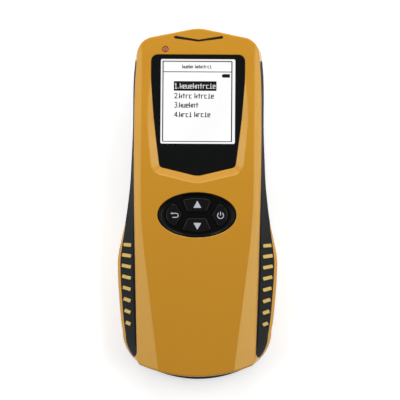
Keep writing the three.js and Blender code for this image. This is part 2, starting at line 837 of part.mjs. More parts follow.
// Band on each side that the grip covers, as a side view carried through the body
function gripBand(grow) {
  const outline = [
    [gripHeadY + grow, coverSeamZ - gripTopGap + grow],
    [gripHeadY + grow, gripLowZ - grow],
    [gripRampY - grow, gripLowZ - grow],
    [gripTipY - grow, gripEdgeZ - grow],
    [gripTailY - grow, gripEdgeZ - grow],
    [gripTailY - grow, coverSeamZ - gripTopGap + grow],
  ];
  const shape = new THREE.Shape(outline.map(([y, z]) => new THREE.Vector2(y, z)));
  return acrossX(shape, -flareHalfWidth - overrun, flareHalfWidth + overrun);
}

// Places of the bars from the first to the last, their gaps widening towards the tail
function ribYAt(k) {
  const reach = (n) => n * (1 + ribPitchGrowthShare * n);
  const share = reach(k) / reach(ribCount - 1);
  return (ribFirstShare + (ribLastShare - ribFirstShare) * share) * halfLength;
}

// Slanted bars in one column, on the right side or the left
function ribBars(side, grow) {
  const bars = [];
  for (let k = 0; k < ribCount; k += 1) {
    const y = ribYAt(k);
    const outerX = gripEdgeWidthAt(y) - ribOuterMargin;
    const tilt = (ribFirstTilt + ((ribLastTilt - ribFirstTilt) * k) / (ribCount - 1)) * degree;
    const length = outerX - ribInnerX + 2 * grow;
    const bar = new THREE.BoxGeometry(length, ribWidth + 2 * grow, coverSeamZ - gripEdgeZ + 2 * grow);
    bar.rotateZ(side * tilt);
    bar.translate((side * (outerX + ribInnerX)) / 2, y, (coverSeamZ + gripEdgeZ) / 2);
    bars.push(solidOf(bar));
  }
  return joined(bars);
}

// Rear housing: a wall that swells into the flare, let back where the grips lie
const housingOuter = housingBody(0);
const gripSeat = gripThick + fitGap;
const housingInset = gripSeat + housingWall;
const housingCavity = housingBody(housingInset, overrun);
const boardRibs = [boardRibHeadY, boardRibTailY].flatMap((y) =>
  [-1, 1].map((side) => {
    const ends = [side * boardRibInnerX, side * flareHalfWidth].sort((a, b) => a - b);
    const half = boardRibThick / 2;
    return block([ends[0], y - half, boardBottomZ - boardRibHeight], [ends[1], y + half, boardBottomZ]);
  }),
);
const housingBosses = screwPlaces.flatMap(([x, y]) => {
  const ends = [x, Math.sign(x) * flareHalfWidth].sort((a, b) => a - b);
  const web = block([ends[0], y - bossWall / 2, baseSeamZ], [ends[1], y + bossWall / 2, coverSeamZ]);
  return [post(bossRadius, x, y, baseSeamZ, coverSeamZ), web];
});
const ribs = [-1, 1].map((side) => ribBars(side, 0).intersect(housingBody(-ribProud)));
const tailWallY = -halfLength + housingTailInset;
const flapOuterY = tailWallY + flapRecess;
const flapInnerY = flapOuterY + flapThick;
const flapBottomZ = flapTopZ - flapHeight;
const socketTopZ = boardBottomZ;
const portZ = socketTopZ - socketHeight / 2;
const housingShell = cutBy(
  joined([housingOuter.subtract(gripBand(fitGap)), housingBody(gripSeat), ...ribs]),
  [housingCavity],
);
const rearHousing = cutBy(
  joined([housingShell, joined([...boardRibs, ...housingBosses]).intersect(housingBody(gripSeat))]),
  [
    ...screwPlaces.map(([x, y]) =>
      post(screwShankRadius + fitGap, x, y, baseSeamZ - overrun, coverSeamZ + overrun),
    ),
    block(
      [-flapHalfWidth - fitGap, -halfLength - overrun, flapBottomZ - fitGap],
      [flapHalfWidth + fitGap, flapInnerY + fitGap, flapTopZ + fitGap],
    ),
    block(
      [-portHalfWidth, -halfLength - overrun, portZ - portHeight / 2],
      [portHalfWidth, tailWallY + housingInset + fitGap, portZ + portHeight / 2],
    ),
  ],
);
piece("rear_housing", rearHousing, yellowShell);

// Rubber grips, one on each side, with a slot for each rib
const gripSkin = housingOuter.intersect(gripBand(0)).subtract(housingBody(gripThick));
for (const [name, side] of [["left_grip", -1], ["right_grip", 1]]) {
  const ends = [0, side * (flareHalfWidth + overrun)].sort((a, b) => a - b);
  const half = block([ends[0], -halfLength, baseSeamZ], [ends[1], halfLength, coverSeamZ]);
  piece(name, gripSkin.intersect(half).subtract(ribBars(side, fitGap)), gripRubber);
}

// Base with its wheel arches, battery bay and screw sinks
const axleZ = wheelRadius;
const floorTopZ = undersideZ + baseFloor;
const baseForm = (topZ) => loft([
  ring(planOf(basePlan, baseEdgeInset), undersideZ),
  ring(planOf(basePlan, baseEdgeInset * (1 - Math.SQRT1_2)), undersideZ + baseEdgeRise * (1 - Math.SQRT1_2)),
  ring(planOf(basePlan), undersideZ + baseEdgeRise),
  ring(planOf(basePlan), topZ),
]);
const baseOuter = baseForm(baseSeamZ);
const archOuterX = wheelInnerX + wheelWidth + archSideGap;
const archInnerX = wheelInnerX - archSideGap;
const archFacets = 16;
const axlePlaces = [axleHeadY, axleTailY];
function archTool(side, y, radius, x0, x1, bottomZ) {
  const ends = [side * x0, side * x1].sort((a, b) => a - b);
  const crown = rod(radius, ends[0], ends[1], y, axleZ, archFacets);
  return crown.add(block([ends[0], y - radius, bottomZ], [ends[1], y + radius, axleZ]));
}
const archRadius = wheelRadius + archGap;
const arches = axlePlaces.flatMap((y) =>
  [-1, 1].map((side) =>
    archTool(side, y, archRadius + archWall, archInnerX - archWall, archOuterX + archWall, undersideZ),
  ),
);
const archPockets = axlePlaces.flatMap((y) =>
  [-1, 1].map((side) => archTool(side, y, archRadius, archInnerX, archOuterX, undersideZ - overrun)),
);
const bushHoles = axlePlaces.map((y) =>
  rod(bushRadius + fitGap, -archInnerX - fitGap, archInnerX + fitGap, y, axleZ),
);
const batteryBottomZ = floorTopZ + seatGap;
const bayHalfWidth = batteryHalfWidth + bayGap;
const bayHeadY = batteryHeadY + bayGap;
const bayTailY = batteryTailY - connectorThick - 2 * seatGap;
const bayTopZ = batteryBottomZ + batteryThick + seatGap;
const bayShell = block(
  [-bayHalfWidth - bayWall, bayTailY - bayWall, undersideZ],
  [bayHalfWidth + bayWall, bayHeadY + bayWall, bayTopZ + bayWall],
);
const bayHollow = block([-bayHalfWidth, bayTailY, floorTopZ], [bayHalfWidth, bayHeadY, bayTopZ]);
const doorTopZ = floorTopZ - fitGap;
const doorHalfWidth = bayHalfWidth + bayWall - doorLanding - doorTongue - slideGap;
const tongueBottomZ = doorTopZ - doorTongueThick;
const doorOpening = block(
  [-doorHalfWidth - slideGap, doorTailY - slideGap, undersideZ - overrun],
  [doorHalfWidth + slideGap, halfLength + overrun, floorTopZ],
);
const tongueTailY = doorTailY + doorTongue;
const tongueHeadY = bayHeadY - bayWall;
const tongueSlot = block(
  [-doorHalfWidth - doorTongue - slideGap, tongueTailY - slideGap, tongueBottomZ - fitGap],
  [doorHalfWidth + doorTongue + slideGap, halfLength + overrun, floorTopZ],
);
const sinkTopZ = undersideZ + screwSinkDepth + screwHeadThick;
const sinkRadius = screwHeadRadius + seatGap;
const baseBosses = screwPlaces.map(([x, y]) => post(sinkRadius + archWall, x, y, undersideZ, baseSeamZ));
const baseRoom = baseForm(coverSeamZ).intersect(housingBody(housingInset + fitGap, overrun));
const baseCavity = straight(planOf(basePlan, baseWall), floorTopZ, baseSeamZ + overrun);
const baseCover = cutBy(
  joined([
    baseOuter.subtract(baseCavity),
    joined([...baseBosses, ...arches, bayShell]).intersect(baseRoom),
  ]),
  [
    ...archPockets,
    ...bushHoles,
    bayHollow,
    doorOpening,
    tongueSlot,
    ...screwPlaces.map(([x, y]) => post(screwShankRadius + fitGap, x, y, undersideZ, baseSeamZ + overrun)),
    ...screwPlaces.map(([x, y]) => post(sinkRadius, x, y, undersideZ - overrun, sinkTopZ)),
  ],
);
piece("base_cover", baseCover, blackShell);

// Battery door: it follows the base's edge and slides off towards the head
const doorGrooves = [];
for (let k = 0; k < doorGrooveCount; k += 1) {
  const y = doorGrooveY - doorGroovePitch * k;
  const depthZ = undersideZ + doorGrooveDepth;
  doorGrooves.push(
    block([-doorGrooveHalf, y, undersideZ - overrun], [doorGrooveHalf, y + doorGrooveWidth, depthZ]),
  );
}
const doorPlate = block(
  [-doorHalfWidth, doorTailY, undersideZ],
  [doorHalfWidth, halfLength + overrun, doorTopZ],
).intersect(baseOuter);
const doorTongues = block(
  [-doorHalfWidth - doorTongue, tongueTailY, tongueBottomZ],
  [doorHalfWidth + doorTongue, tongueHeadY, doorTopZ],
);
piece("battery_door", cutBy(doorPlate.add(doorTongues), doorGrooves), blackShell);

// Battery pack and the connector that it meets
const batteryShape = roundedBox(
  batteryHalfWidth,
  batteryLength / 2,
  batteryCorner,
  0,
  batteryTailY + batteryLength / 2,
);
piece("battery_pack", prism(batteryShape, batteryBottomZ, batteryBottomZ + batteryThick, 4), batteryFinish);
const connectorHeadY = batteryTailY - seatGap;
piece(
  "battery_connector",
  block(
    [-connectorHalfWidth, connectorHeadY - connectorThick, floorTopZ],
    [connectorHalfWidth, connectorHeadY, floorTopZ + connectorHeight],
  ),
  nylonFinish,
);

// Screws through the base and the housing into the cover
const screwEndZ = coverBottomZ + screwBite;
screwPlaces.forEach(([x, y], i) => {
  const head = post(screwHeadRadius, x, y, sinkTopZ - screwHeadThick, sinkTopZ, 14);
  const shank = post(screwShankRadius, x, y, sinkTopZ - screwHeadThick / 2, screwEndZ, 8);
  const drive = post(screwDriveRadius, x, y, 0, sinkTopZ - screwHeadThick + screwDriveDepth, 6);
  piece(`case_screw_${i + 1}`, head.add(shank).subtract(drive), steelFinish);
});

// Window lens, its seal and the display behind it
piece("window_lens", straight(windowHalf(windowShares, -fitGap), lensBottomZ, lensTopZ), lensFinish);
const lensSeal = cutBy(straight(windowHalf(windowShares, -fitGap), ledgeTopZ, lensBottomZ), [
  straight(ledgeHalf, ledgeTopZ - overrun, lensBottomZ + overrun),
]);
piece("lens_gasket", lensSeal, gripRubber);
const displayTopZ = boardTopZ + displayFrameThick;
const panelTopZ = displayTopZ - displayFrameRecess;
const panelShape = roundedBox(
  displayWidth / 2 + displayBezel / 2,
  displayLength / 2 + displayBezel / 2,
  fitGap,
  0,
  displayCentreY,
);
const panelGrown = roundedBox(
  displayWidth / 2 + displayBezel / 2 + fitGap,
  displayLength / 2 + displayBezel / 2 + fitGap,
  fitGap,
  0,
  displayCentreY,
);
const frameShape = roundedBox(
  displayWidth / 2 + displayBezel,
  displayLength / 2 + displayBezel,
  displayBezel / 2,
  0,
  displayCentreY,
);
const displayFrame = prism(frameShape, boardTopZ, displayTopZ, 3).subtract(
  prism(panelGrown, panelTopZ - displayThick, displayTopZ + overrun, 1),
);
piece("display_frame", displayFrame, blackShell);
piece("display_panel", prism(panelShape, panelTopZ - displayThick, panelTopZ, 1), screenFinish);

// Main board and its parts
const boardOutline = [
  [boardNarrowHalf, boardHeadY],
  [boardNarrowHalf, boardStepHeadY],
  [boardHalfWidth, boardStepHeadY],
  [boardHalfWidth, boardStepTailY],
  [boardNarrowHalf, boardStepTailY],
  [boardNarrowHalf, boardTailY],
];
const boardCorners = [...boardOutline, ...boardOutline.toReversed().map(([x, y]) => [-x, y])];
const boardShape = new THREE.Shape(boardCorners.map(([x, y]) => new THREE.Vector2(x, y)));
piece("main_board", prism(boardShape, boardBottomZ, boardTopZ), boardFinish);
const chipHalf = chipWidth / 2;
piece(
  "processor_chip",
  block([-chipHalf, chipY - chipHalf, boardTopZ], [chipHalf, chipY + chipHalf, boardTopZ + chipThick]),
  chipFinish,
);
const socketTailY = tailWallY + housingInset + socketGap;
const socketHollowHalf = socketWidth / 2 - socketWall;
const portSocket = block(
  [-socketWidth / 2, socketTailY, socketTopZ - socketHeight],
  [socketWidth / 2, socketTailY + socketDepth, socketTopZ],
).subtract(
  block(
    [-socketHollowHalf, socketTailY - overrun, socketTopZ - socketHeight + socketWall],
    [socketHollowHalf, socketTailY + socketDepth - socketWall, socketTopZ - socketWall],
  ),
);
piece("port_socket", portSocket, steelFinish);

// Rubber flap over the port, with its hinge along the lower edge
const hingeY = (flapOuterY + flapInnerY) / 2;
const hingeZ = flapBottomZ + flapHingeRadius;
const flap = block(
  [-flapHalfWidth, flapOuterY, hingeZ],
  [flapHalfWidth, flapInnerY, flapTopZ],
).add(rod(flapHingeRadius, -flapHalfWidth, flapHalfWidth, hingeY, hingeZ, 16));
piece("port_flap", flap, gripRubber);

// Indicator lamp, pushed into its hole from inside
const lampSkinZ = lampFaceZ - coverWall;
const lampFlangeTopZ = lampSkinZ - seatGap;
const lampTopZ = lampFaceZ - lampRingDepth + lampProud;
const lampLens = post(lampRadius, lampX, lampY, lampFlangeTopZ - fitGap, lampTopZ, 16);
const lampFlange = post(lampFlangeRadius, lampX, lampY, lampFlangeTopZ - lampFlangeThick, lampFlangeTopZ);
piece("indicator_lamp", lampLens.add(lampFlange), lampFinish);

// Sounder under the chevron slot, and the insert that fills the slot
const slotSkinZ = faceZAt(slotEndY) - coverWall;
const insertTopZ = faceZAt(slotEndY) - grilleRecess;
piece("sounder_grille", chevron(fitGap / 2, slotSkinZ, insertTopZ), blackShell);
const sounderTopZ = slotSkinZ - seatGap;
const sounder = post(sounderRadius, 0, sounderY, sounderTopZ - sounderHeight, sounderTopZ).subtract(
  post(sounderPortRadius, 0, sounderY, sounderTopZ - sounderPortDepth, sounderTopZ + overrun, 12),
);
piece("sounder", sounder, chipFinish);

// Key outlines about the middle of the keypad
const keyTopHalf = upKeyShares.topHalf * keypadHalfWidth;
const keyBottomHalf = upKeyShares.bottomHalf * keypadHalfWidth;
const keyTopY = upKeyShares.top * keypadHalfHeight;
const keyBottomY = upKeyShares.bottom * keypadHalfHeight;
const upKey = [
  [-keyBottomHalf, keyBottomY],
  [keyBottomHalf, keyBottomY],
  [keyTopHalf, keyTopY - keyArch],
  [0, keyTopY],
  [-keyTopHalf, keyTopY - keyArch],
];
const sideKeyOuterX = sideKeyShares.outer * keypadHalfWidth;
const sideKeyCornerX = sideKeyShares.corner * keypadHalfWidth;
const sideKeyCentreX = sideKeyShares.middle * keypadHalfWidth;
const sideKeyTopY = sideKeyShares.top * keypadHalfHeight;
const sideSagitta = sideKeyOuterX - sideKeyCornerX;
const sideArcRadius = (sideKeyTopY ** 2 + sideSagitta ** 2) / (2 * sideSagitta);
const sideArcX = sideKeyOuterX - sideArcRadius;
const sideArcHalf = Math.atan2(sideKeyTopY, sideKeyCornerX - sideArcX);
const sideArcSteps = 6;
const powerKey = [[sideKeyShares.inner * keypadHalfWidth, 0]];
for (let i = 0; i <= sideArcSteps; i += 1) {
  const angle = sideArcHalf * ((2 * i) / sideArcSteps - 1);
  powerKey.push([sideArcX + sideArcRadius * Math.cos(angle), sideArcRadius * Math.sin(angle)]);
}
const mirrored = (outline, alongX, alongY) => outline.map(([x, y]) => [x * alongX, y * alongY]).reverse();
const keys = [
  ["key_up", upKey, 0, (keyTopY + keyBottomY) / 2],
  ["key_down", mirrored(upKey, 1, -1), 0, -(keyTopY + keyBottomY) / 2],
  ["key_back", mirrored(powerKey, -1, 1), -sideKeyCentreX, 0],
  ["key_power", powerKey, sideKeyCentreX, 0],
];

// A convex outline moved out from itself by a distance
function grown(outline, distance) {
  const count = outline.length;
  return outline.map(([x, y], i) => {
    const [px, py] = outline[(i + count - 1) % count];
    const [nx, ny] = outline[(i + 1) % count];
    const before = new THREE.Vector2(y - py, px - x).normalize();
    const after = new THREE.Vector2(ny - y, x - nx).normalize();
    const out = before.clone().add(after).normalize();
    const reach = distance / out.dot(before);
    return [x + out.x * reach, y + out.y * reach];
  });
}

// The outline as a shape at the keypad, with rounded corners
function keyShape(outline, corner) {
  const count = outline.length;
  const shape = new THREE.Shape();
  outline.forEach(([x, y], i) => {
    const [px, py] = outline[(i + count - 1) % count];
    const [nx, ny] = outline[(i + 1) % count];
    const toBefore = new THREE.Vector2(px - x, py - y);
    const toAfter = new THREE.Vector2(nx - x, ny - y);
    const inReach = Math.min(corner, toBefore.length() / 2.5);
    const outReach = Math.min(corner, toAfter.length() / 2.5);
    toBefore.setLength(inReach);
    toAfter.setLength(outReach);
    const start = [x + toBefore.x, y + toBefore.y + keypadCentreY];
    if (i === 0) shape.moveTo(...start);
    else shape.lineTo(...start);
    shape.quadraticCurveTo(x, y + keypadCentreY, x + toAfter.x, y + toAfter.y + keypadCentreY);
  });
  return shape;
}

// Surround: an oval dish with a flange under the cover and a skirt down to the keypad's board
const ovalShare = keypadHalfWidth / keypadHalfHeight;
const dishOut = keypadHalfHeight - fitGap;
const skirtOut = dishOut - fitGap;
const dishProfile = [
  [0, dishUnderZ],
  [skirtOut - surroundSkirt, dishUnderZ],
  [skirtOut - surroundSkirt, keyBoardTopZ],
  [skirtOut, keyBoardTopZ],
  [skirtOut, surroundFlangeTopZ - surroundFlangeThick],
  [dishOut + surroundFlange, surroundFlangeTopZ - surroundFlangeThick],
  [dishOut + surroundFlange, surroundFlangeTopZ],
  [dishOut, surroundFlangeTopZ],
  [dishOut, dishRimZ],
  [dishOut - dishRimWidth, dishRimZ],
  [dishOut - dishRimWidth - dishBevel, dishFloorZ],
  [0, dishFloorZ],
];
const dishTurned = new THREE.LatheGeometry(
  dishProfile.map(([radius, z]) => new THREE.Vector2(radius, z)),
  32,
);
dishTurned.rotateX(Math.PI / 2);
dishTurned.scale(ovalShare, 1, 1);
dishTurned.translate(0, keypadCentreY, 0);
const keyHoles = keys.map(([, outline]) =>
  prism(keyShape(grown(outline, fitGap), keyCorner), dishUnderZ - fitGap, faceCrownZ, 2),
);
piece("keypad_surround", cutBy(solidOf(dishTurned), keyHoles), blackShell);

// Keys, with a flange under the dish and a stem over the switch
const keyTopZ = dishRimZ + keyProud;
for (const [name, outline, stemX, stemY] of keys) {
  const cap = new THREE.ExtrudeGeometry(keyShape(outline, keyCorner), {
    depth: keyTopZ - keyFlangeTopZ - keyBevel,
    bevelThickness: keyBevel,
    bevelSize: keyBevel,
    bevelOffset: -keyBevel,
    bevelSegments: 1,
    curveSegments: 2,
  });
  cap.translate(0, 0, keyFlangeTopZ);
  const flange = prism(
    keyShape(grown(outline, keyFlange), keyCorner),
    keyFlangeTopZ - keyFlangeThick,
    keyFlangeTopZ,
    1,
  );
  const stem = post(keyStemRadius, stemX, stemY + keypadCentreY, keyStemBottomZ, keyFlangeTopZ, 10);
  const key = joined([solidOf(cap), flange, stem]);
  piece(name, key, blackShell);
  const dome = post(domeRadius, stemX, stemY + keypadCentreY, keyBoardTopZ, domeTopZ, 10);
  piece(name.replace("key", "dome"), dome, steelFinish);
}
const keypadBoard = oval(skirtOut * ovalShare, skirtOut, keyBoardTopZ - boardThick, keyBoardTopZ);
piece("keypad_board", keypadBoard, boardFinish);

// Wheels on their axles
const hubRim = wheelRadius - tyreThick;
const webStart = (wheelWidth - hubWebThick) / 2;
const rimInner = hubRim - hubRimThick;
const hubProfile = [
  [hubBore, 0],
  [hubBoss, 0],
  [rimInner, webStart],
  [rimInner, hubEdge],
  [hubRim - fitGap, hubEdge],
  [hubRim - fitGap, wheelWidth - hubEdge],
  [rimInner, wheelWidth - hubEdge],
  [rimInner, wheelWidth - webStart],
  [hubBoss, wheelWidth],
  [hubBore, wheelWidth],
];
const tyreProfile = [
  [hubRim, 0],
  [wheelRadius - tyreShoulder, 0],
  [wheelRadius, tyreShoulder],
  [wheelRadius, wheelWidth - tyreShoulder],
  [wheelRadius - tyreShoulder, wheelWidth],
  [hubRim, wheelWidth],
];
for (const [end, y] of [["head", axleHeadY], ["tail", axleTailY]]) {
  for (const [hand, x] of [["left", -wheelInnerX - wheelWidth], ["right", wheelInnerX]]) {
    piece(`${end}_${hand}_hub`, turnedAlongX(hubProfile, wheelFacets, x, y, axleZ), blackShell);
    piece(`${end}_${hand}_tyre`, turnedAlongX(tyreProfile, wheelFacets, x, y, axleZ), tyreRubber);
    const side = Math.sign(x);
    const ends = [side * (archInnerX - archWall), side * (archInnerX + bushProud)].sort((a, b) => a - b);
    const bush = rod(bushRadius, ends[0], ends[1], y, axleZ);
    const bore = rod(axleRadius + fitGap, ends[0] - overrun, ends[1] + overrun, y, axleZ);
    piece(`${end}_${hand}_bush`, bush.subtract(bore), nylonFinish);
  }
  const axleEnd = wheelInnerX + wheelWidth;
  piece(`${end}_axle`, rod(axleRadius, -axleEnd, axleEnd, y, axleZ), steelFinish);
}

// A gear as a side view: straight-sided teeth, the first one turned to an angle
function gearShape(teeth, y, z, turn) {
  const pitchRadius = (gearModule * teeth) / 2;
  const root = pitchRadius - gearModule * gearDedendumShare;
  const tip = pitchRadius + gearModule * gearAddendumShare;
  const half = Math.PI / teeth;
  const points = [];
  for (let k = 0; k < teeth; k += 1) {
    const middle = turn + 2 * half * k;
    for (const [radius, share] of [
      [root, -toothFootShare],
      [tip, -toothTipShare],
      [tip, toothTipShare],
      [root, toothFootShare],
    ]) {
      const angle = middle + share * half;
      points.push(new THREE.Vector2(y + radius * Math.cos(angle), z + radius * Math.sin(angle)));
    }
  }
  return new THREE.Shape(points);
}

// Travel encoder, driven from the tail axle
const meshAngle = encoderRise * degree;
const centreDistance = (gearModule * (driveTeeth + encoderTeeth)) / 2 + gearMeshGap;
const encoderY = axleTailY + centreDistance * Math.cos(meshAngle);
const encoderZ = axleZ + centreDistance * Math.sin(meshAngle);
const gearStart = gearX - gearWidth / 2;
const gearEnd = gearX + gearWidth / 2;
const driveGear = acrossX(gearShape(driveTeeth, axleTailY, axleZ, meshAngle), gearStart, gearEnd);
piece(
  "drive_gear",
  driveGear.subtract(rod(axleRadius + fitGap, -halfLength, halfLength, axleTailY, axleZ)),
  nylonFinish,
);
const gapTurn = meshAngle + Math.PI + Math.PI / encoderTeeth;
const encoderGear = acrossX(gearShape(encoderTeeth, encoderY, encoderZ, gapTurn), gearStart, gearEnd);
const encoderBore = rod(encoderShaftRadius + fitGap, -halfLength, halfLength, encoderY, encoderZ, 16);
piece("encoder_gear", encoderGear.subtract(encoderBore), nylonFinish);
const slots = [];
for (let k = 0; k < discSlots; k += 1) {
  const slot = new THREE.BoxGeometry(2 * discThick, 2 * discSlotDepth, discSlotWidth);
  slot.translate(0, discRadius, 0);
  slot.rotateX((2 * Math.PI * k) / discSlots);
  slot.translate(discX, encoderY, encoderZ);
  slots.push(solidOf(slot));
}
const discHalf = discThick / 2;
const disc = rod(discRadius, discX - discHalf, discX + discHalf, encoderY, encoderZ, 30);
const discBoss = rod(discHub, discX - discHubWidth / 2, discX + discHubWidth / 2, encoderY, encoderZ, 12);
piece("encoder_disc", cutBy(disc.add(discBoss), [encoderBore, ...slots]), blackShell);
const bracketStart = bracketCentreX - bracketHalfSpan - bracketThick / 2;
const bracketEnd = bracketCentreX + bracketHalfSpan + bracketThick / 2;
piece(
  "encoder_shaft",
  rod(encoderShaftRadius, bracketStart - seatGap, bracketEnd + seatGap, encoderY, encoderZ, 16),
  steelFinish,
);
const bracketBackY = encoderY - bracketSetback;
const bracketFrontY = encoderY + bracketReach;
const bracketTopZ = encoderZ + bracketSetback;
const uprights = [bracketStart, bracketEnd - bracketThick].map((x) =>
  block([x, bracketBackY, floorTopZ], [x + bracketThick, bracketFrontY, bracketTopZ]),
);
const bracketFoot = block(
  [bracketStart, bracketFrontY - bracketFootLength, floorTopZ],
  [bracketEnd, bracketFrontY, floorTopZ + bracketFootThick],
);
piece("encoder_bracket", joined([...uprights, bracketFoot]).subtract(encoderBore), blackShell);
const sensorBottomZ = encoderZ + discRadius - sensorOverlap;
const sensor = block(
  [discX - sensorWidth / 2, encoderY - sensorLength / 2, sensorBottomZ],
  [discX + sensorWidth / 2, encoderY + sensorLength / 2, boardBottomZ],
).subtract(
  block(
    [discX - sensorSlot / 2, encoderY - sensorLength, sensorBottomZ - overrun],
    [discX + sensorSlot / 2, encoderY + sensorLength, sensorBottomZ + sensorSlotDepth],
  ),
);
piece("encoder_sensor", sensor, chipFinish);

// Search coils: two windings on one spool that stands on the floor of the base
const coilHeadY = axleHeadY - coilHeadGap;
const coilTailY = bracketFrontY + coilTailGap;
const coilCentreY = (coilHeadY + coilTailY) / 2;
const bobbinHalfLength = (coilHeadY - coilTailY) / 2;
const track = (inset, z0, z1) =>
  prism(
    roundedBox(bobbinHalfWidth - inset, bobbinHalfLength - inset, bobbinCorner - inset, 0, coilCentreY),
    z0,
    z1,
    2,
  );
const flangeZ = [floorTopZ];
flangeZ.push(flangeZ[0] + bobbinFlangeThick + transmitHeight);
flangeZ.push(flangeZ[1] + bobbinFlangeThick + receiveHeight);
const spoolTopZ = flangeZ[2] + bobbinFlangeThick;
const spool = joined([
  track(bobbinFlange, floorTopZ, spoolTopZ),
  ...flangeZ.map((z) => track(0, z, z + bobbinFlangeThick)),
]).subtract(track(bobbinFlange + bobbinWall, floorTopZ - overrun, spoolTopZ + overrun));
piece("coil_bobbin", spool, nylonFinish);
const windings = [
  ["transmit_coil", flangeZ[0], flangeZ[1]],
  ["receive_coil", flangeZ[1], flangeZ[2]],
];
for (const [name, below, above] of windings) {
  const outer = track(windingGap, below + bobbinFlangeThick, above);
  const inner = track(bobbinFlange - fitGap, below - overrun, above + overrun);
  piece(name, outer.subtract(inner), copperFinish);
}

export default group;
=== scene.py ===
# %% [markdown]
# # Dressing a handheld rebar detector
#
# The instrument rolls over concrete on four wheels and shows the steel bars that it finds. Its solids
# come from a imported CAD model, which this lesson loads as a fixed frame. The yellow shells, the grips,
# the window and the keys are then rebuilt with finer curves in the same places, and every piece gets a
# procedural finish. Lengths are written in millimetres, and become metres when a mesh is made.

# %% Load the CAD frame
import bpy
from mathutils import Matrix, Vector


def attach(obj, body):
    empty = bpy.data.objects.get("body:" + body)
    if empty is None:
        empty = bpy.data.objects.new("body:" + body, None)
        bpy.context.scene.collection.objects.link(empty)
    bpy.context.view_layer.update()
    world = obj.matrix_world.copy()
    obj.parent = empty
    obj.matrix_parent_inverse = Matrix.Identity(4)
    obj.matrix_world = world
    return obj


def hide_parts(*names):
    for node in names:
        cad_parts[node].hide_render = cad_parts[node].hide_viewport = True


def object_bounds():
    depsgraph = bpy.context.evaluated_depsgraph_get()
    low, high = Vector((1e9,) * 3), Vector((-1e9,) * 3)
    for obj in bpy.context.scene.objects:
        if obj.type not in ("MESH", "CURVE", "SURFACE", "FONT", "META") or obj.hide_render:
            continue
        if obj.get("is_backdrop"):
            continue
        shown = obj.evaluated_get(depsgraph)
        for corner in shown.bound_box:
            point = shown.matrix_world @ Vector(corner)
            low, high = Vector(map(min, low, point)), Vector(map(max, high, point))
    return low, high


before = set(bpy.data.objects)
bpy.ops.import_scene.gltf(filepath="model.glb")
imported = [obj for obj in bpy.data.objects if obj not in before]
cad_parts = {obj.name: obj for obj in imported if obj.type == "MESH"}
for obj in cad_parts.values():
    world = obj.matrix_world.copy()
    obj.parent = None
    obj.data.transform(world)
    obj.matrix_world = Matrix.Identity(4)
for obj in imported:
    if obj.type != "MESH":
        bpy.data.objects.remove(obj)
cad_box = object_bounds()

# %% Libraries and units
import math

import bmesh
import bpy
import numpy as np
from mathutils import Matrix, Vector

MM = 0.001
WELD = 1e-3 * MM  # points nearer than this are one point
HALF_LENGTH = 105
BEYOND, PAST, ABOVE = 80, 130, 60  # outside every piece along X, Y and Z, for tools that cut through


def placed(name, data):
    """A new object in the scene."""
    made = bpy.data.objects.new(name, data)
    bpy.context.scene.collection.objects.link(made)
    return made


print("CAD box in mm:", [[round(v / MM, 1) for v in corner] for corner in cad_box])

# %% [markdown]
# ## The camera
#
# The photograph looks almost straight down on the face with a long lens, from slightly to the right and
# slightly from the tail, so the black base shows as an arc past the tail. A lens of 450 mm at 3 m shows
# 240 mm across, so one pixel of 400 is 0.6 mm on the face. The camera is built from its three axes,
# because a target constraint would choose the roll by itself.

# %% Camera
SIDE_STEP = math.radians(1.35)
TAIL_STEP = math.radians(2.6)
LEAN = math.radians(0.4)
DISTANCE, LENS, SENSOR = 2.995, 450, 36
aim = Vector((1.74, 1.75, 45)) * MM  # a point on the face near the middle of the picture
backward = Vector((math.sin(SIDE_STEP), -math.sin(TAIL_STEP), math.cos(SIDE_STEP))).normalized()
upward = Vector((-math.sin(LEAN), math.cos(LEAN), 0))
rightward = upward.cross(backward).normalized()
upward = backward.cross(rightward)
camera = placed("camera", bpy.data.cameras.new("camera"))
camera.data.lens, camera.data.sensor_width = LENS, SENSOR
turn = Matrix((rightward, upward, backward)).transposed().to_4x4()
camera.matrix_world = Matrix.Translation(aim + backward * DISTANCE) @ turn
bpy.context.scene.camera = camera
bpy.context.scene.view_settings.view_transform = "Standard"
print("camera at", [round(v, 3) for v in camera.matrix_world.translation])

# %% [markdown]
# ## A small language for finishes
#
# A finish is a tree of nodes, and long trees are hard to read as node calls. So a socket is wrapped in
# a class whose operators add the Math node that they stand for: `1 - mask` is a Subtract node. Every
# other node comes from one method that takes its type, its settings and its sockets.

# %% Sockets as expressions
def plug(socket, value):
    """Give a socket a number, a colour or a link."""
    if isinstance(value, Wire):
        socket.id_data.links.new(value.socket, socket)
    else:
        socket.default_value = value


def math_node(operation):
    """A method that adds a Math node, with the wire itself as its first value."""
    return lambda wire, *others: wire.worked(operation, wire, *others)


class Wire:
    """An output socket that can stand in a sum."""

    def __init__(self, socket):
        self.socket = socket

    def worked(self, operation, *values):
        node = self.socket.id_data.nodes.new("ShaderNodeMath")
        node.operation = operation
        for socket, value in zip(node.inputs, values):
            plug(socket, value)
        return Wire(node.outputs[0])

    def __rsub__(self, other):
        return self.worked("SUBTRACT", other, self)

    __add__ = __radd__ = math_node("ADD")
    __mul__ = __rmul__ = math_node("MULTIPLY")
    __sub__ = math_node("SUBTRACT")
    __truediv__ = math_node("DIVIDE")
    __lt__ = math_node("LESS_THAN")
    size = math_node("ABSOLUTE")
    highest = math_node("MAXIMUM")
    power = math_node("POWER")


print("operators on sockets are ready")

# %% The finish class
def paint(red, green, blue):
    """A colour as it is seen on screen, turned into the light that it stands for."""
    def light(part):
        part = part / 255
        return part / 12.92 if part <= 0.04045 else ((part + 0.055) / 1.055) ** 2.4
    return (light(red), light(green), light(blue), 1)


def tones(colour, spread):
    """A darker and a lighter tone of a colour."""
    return [tuple(min(part * (1 + way), 1) for part in colour[:3]) + (1,) for way in (-spread, spread)]


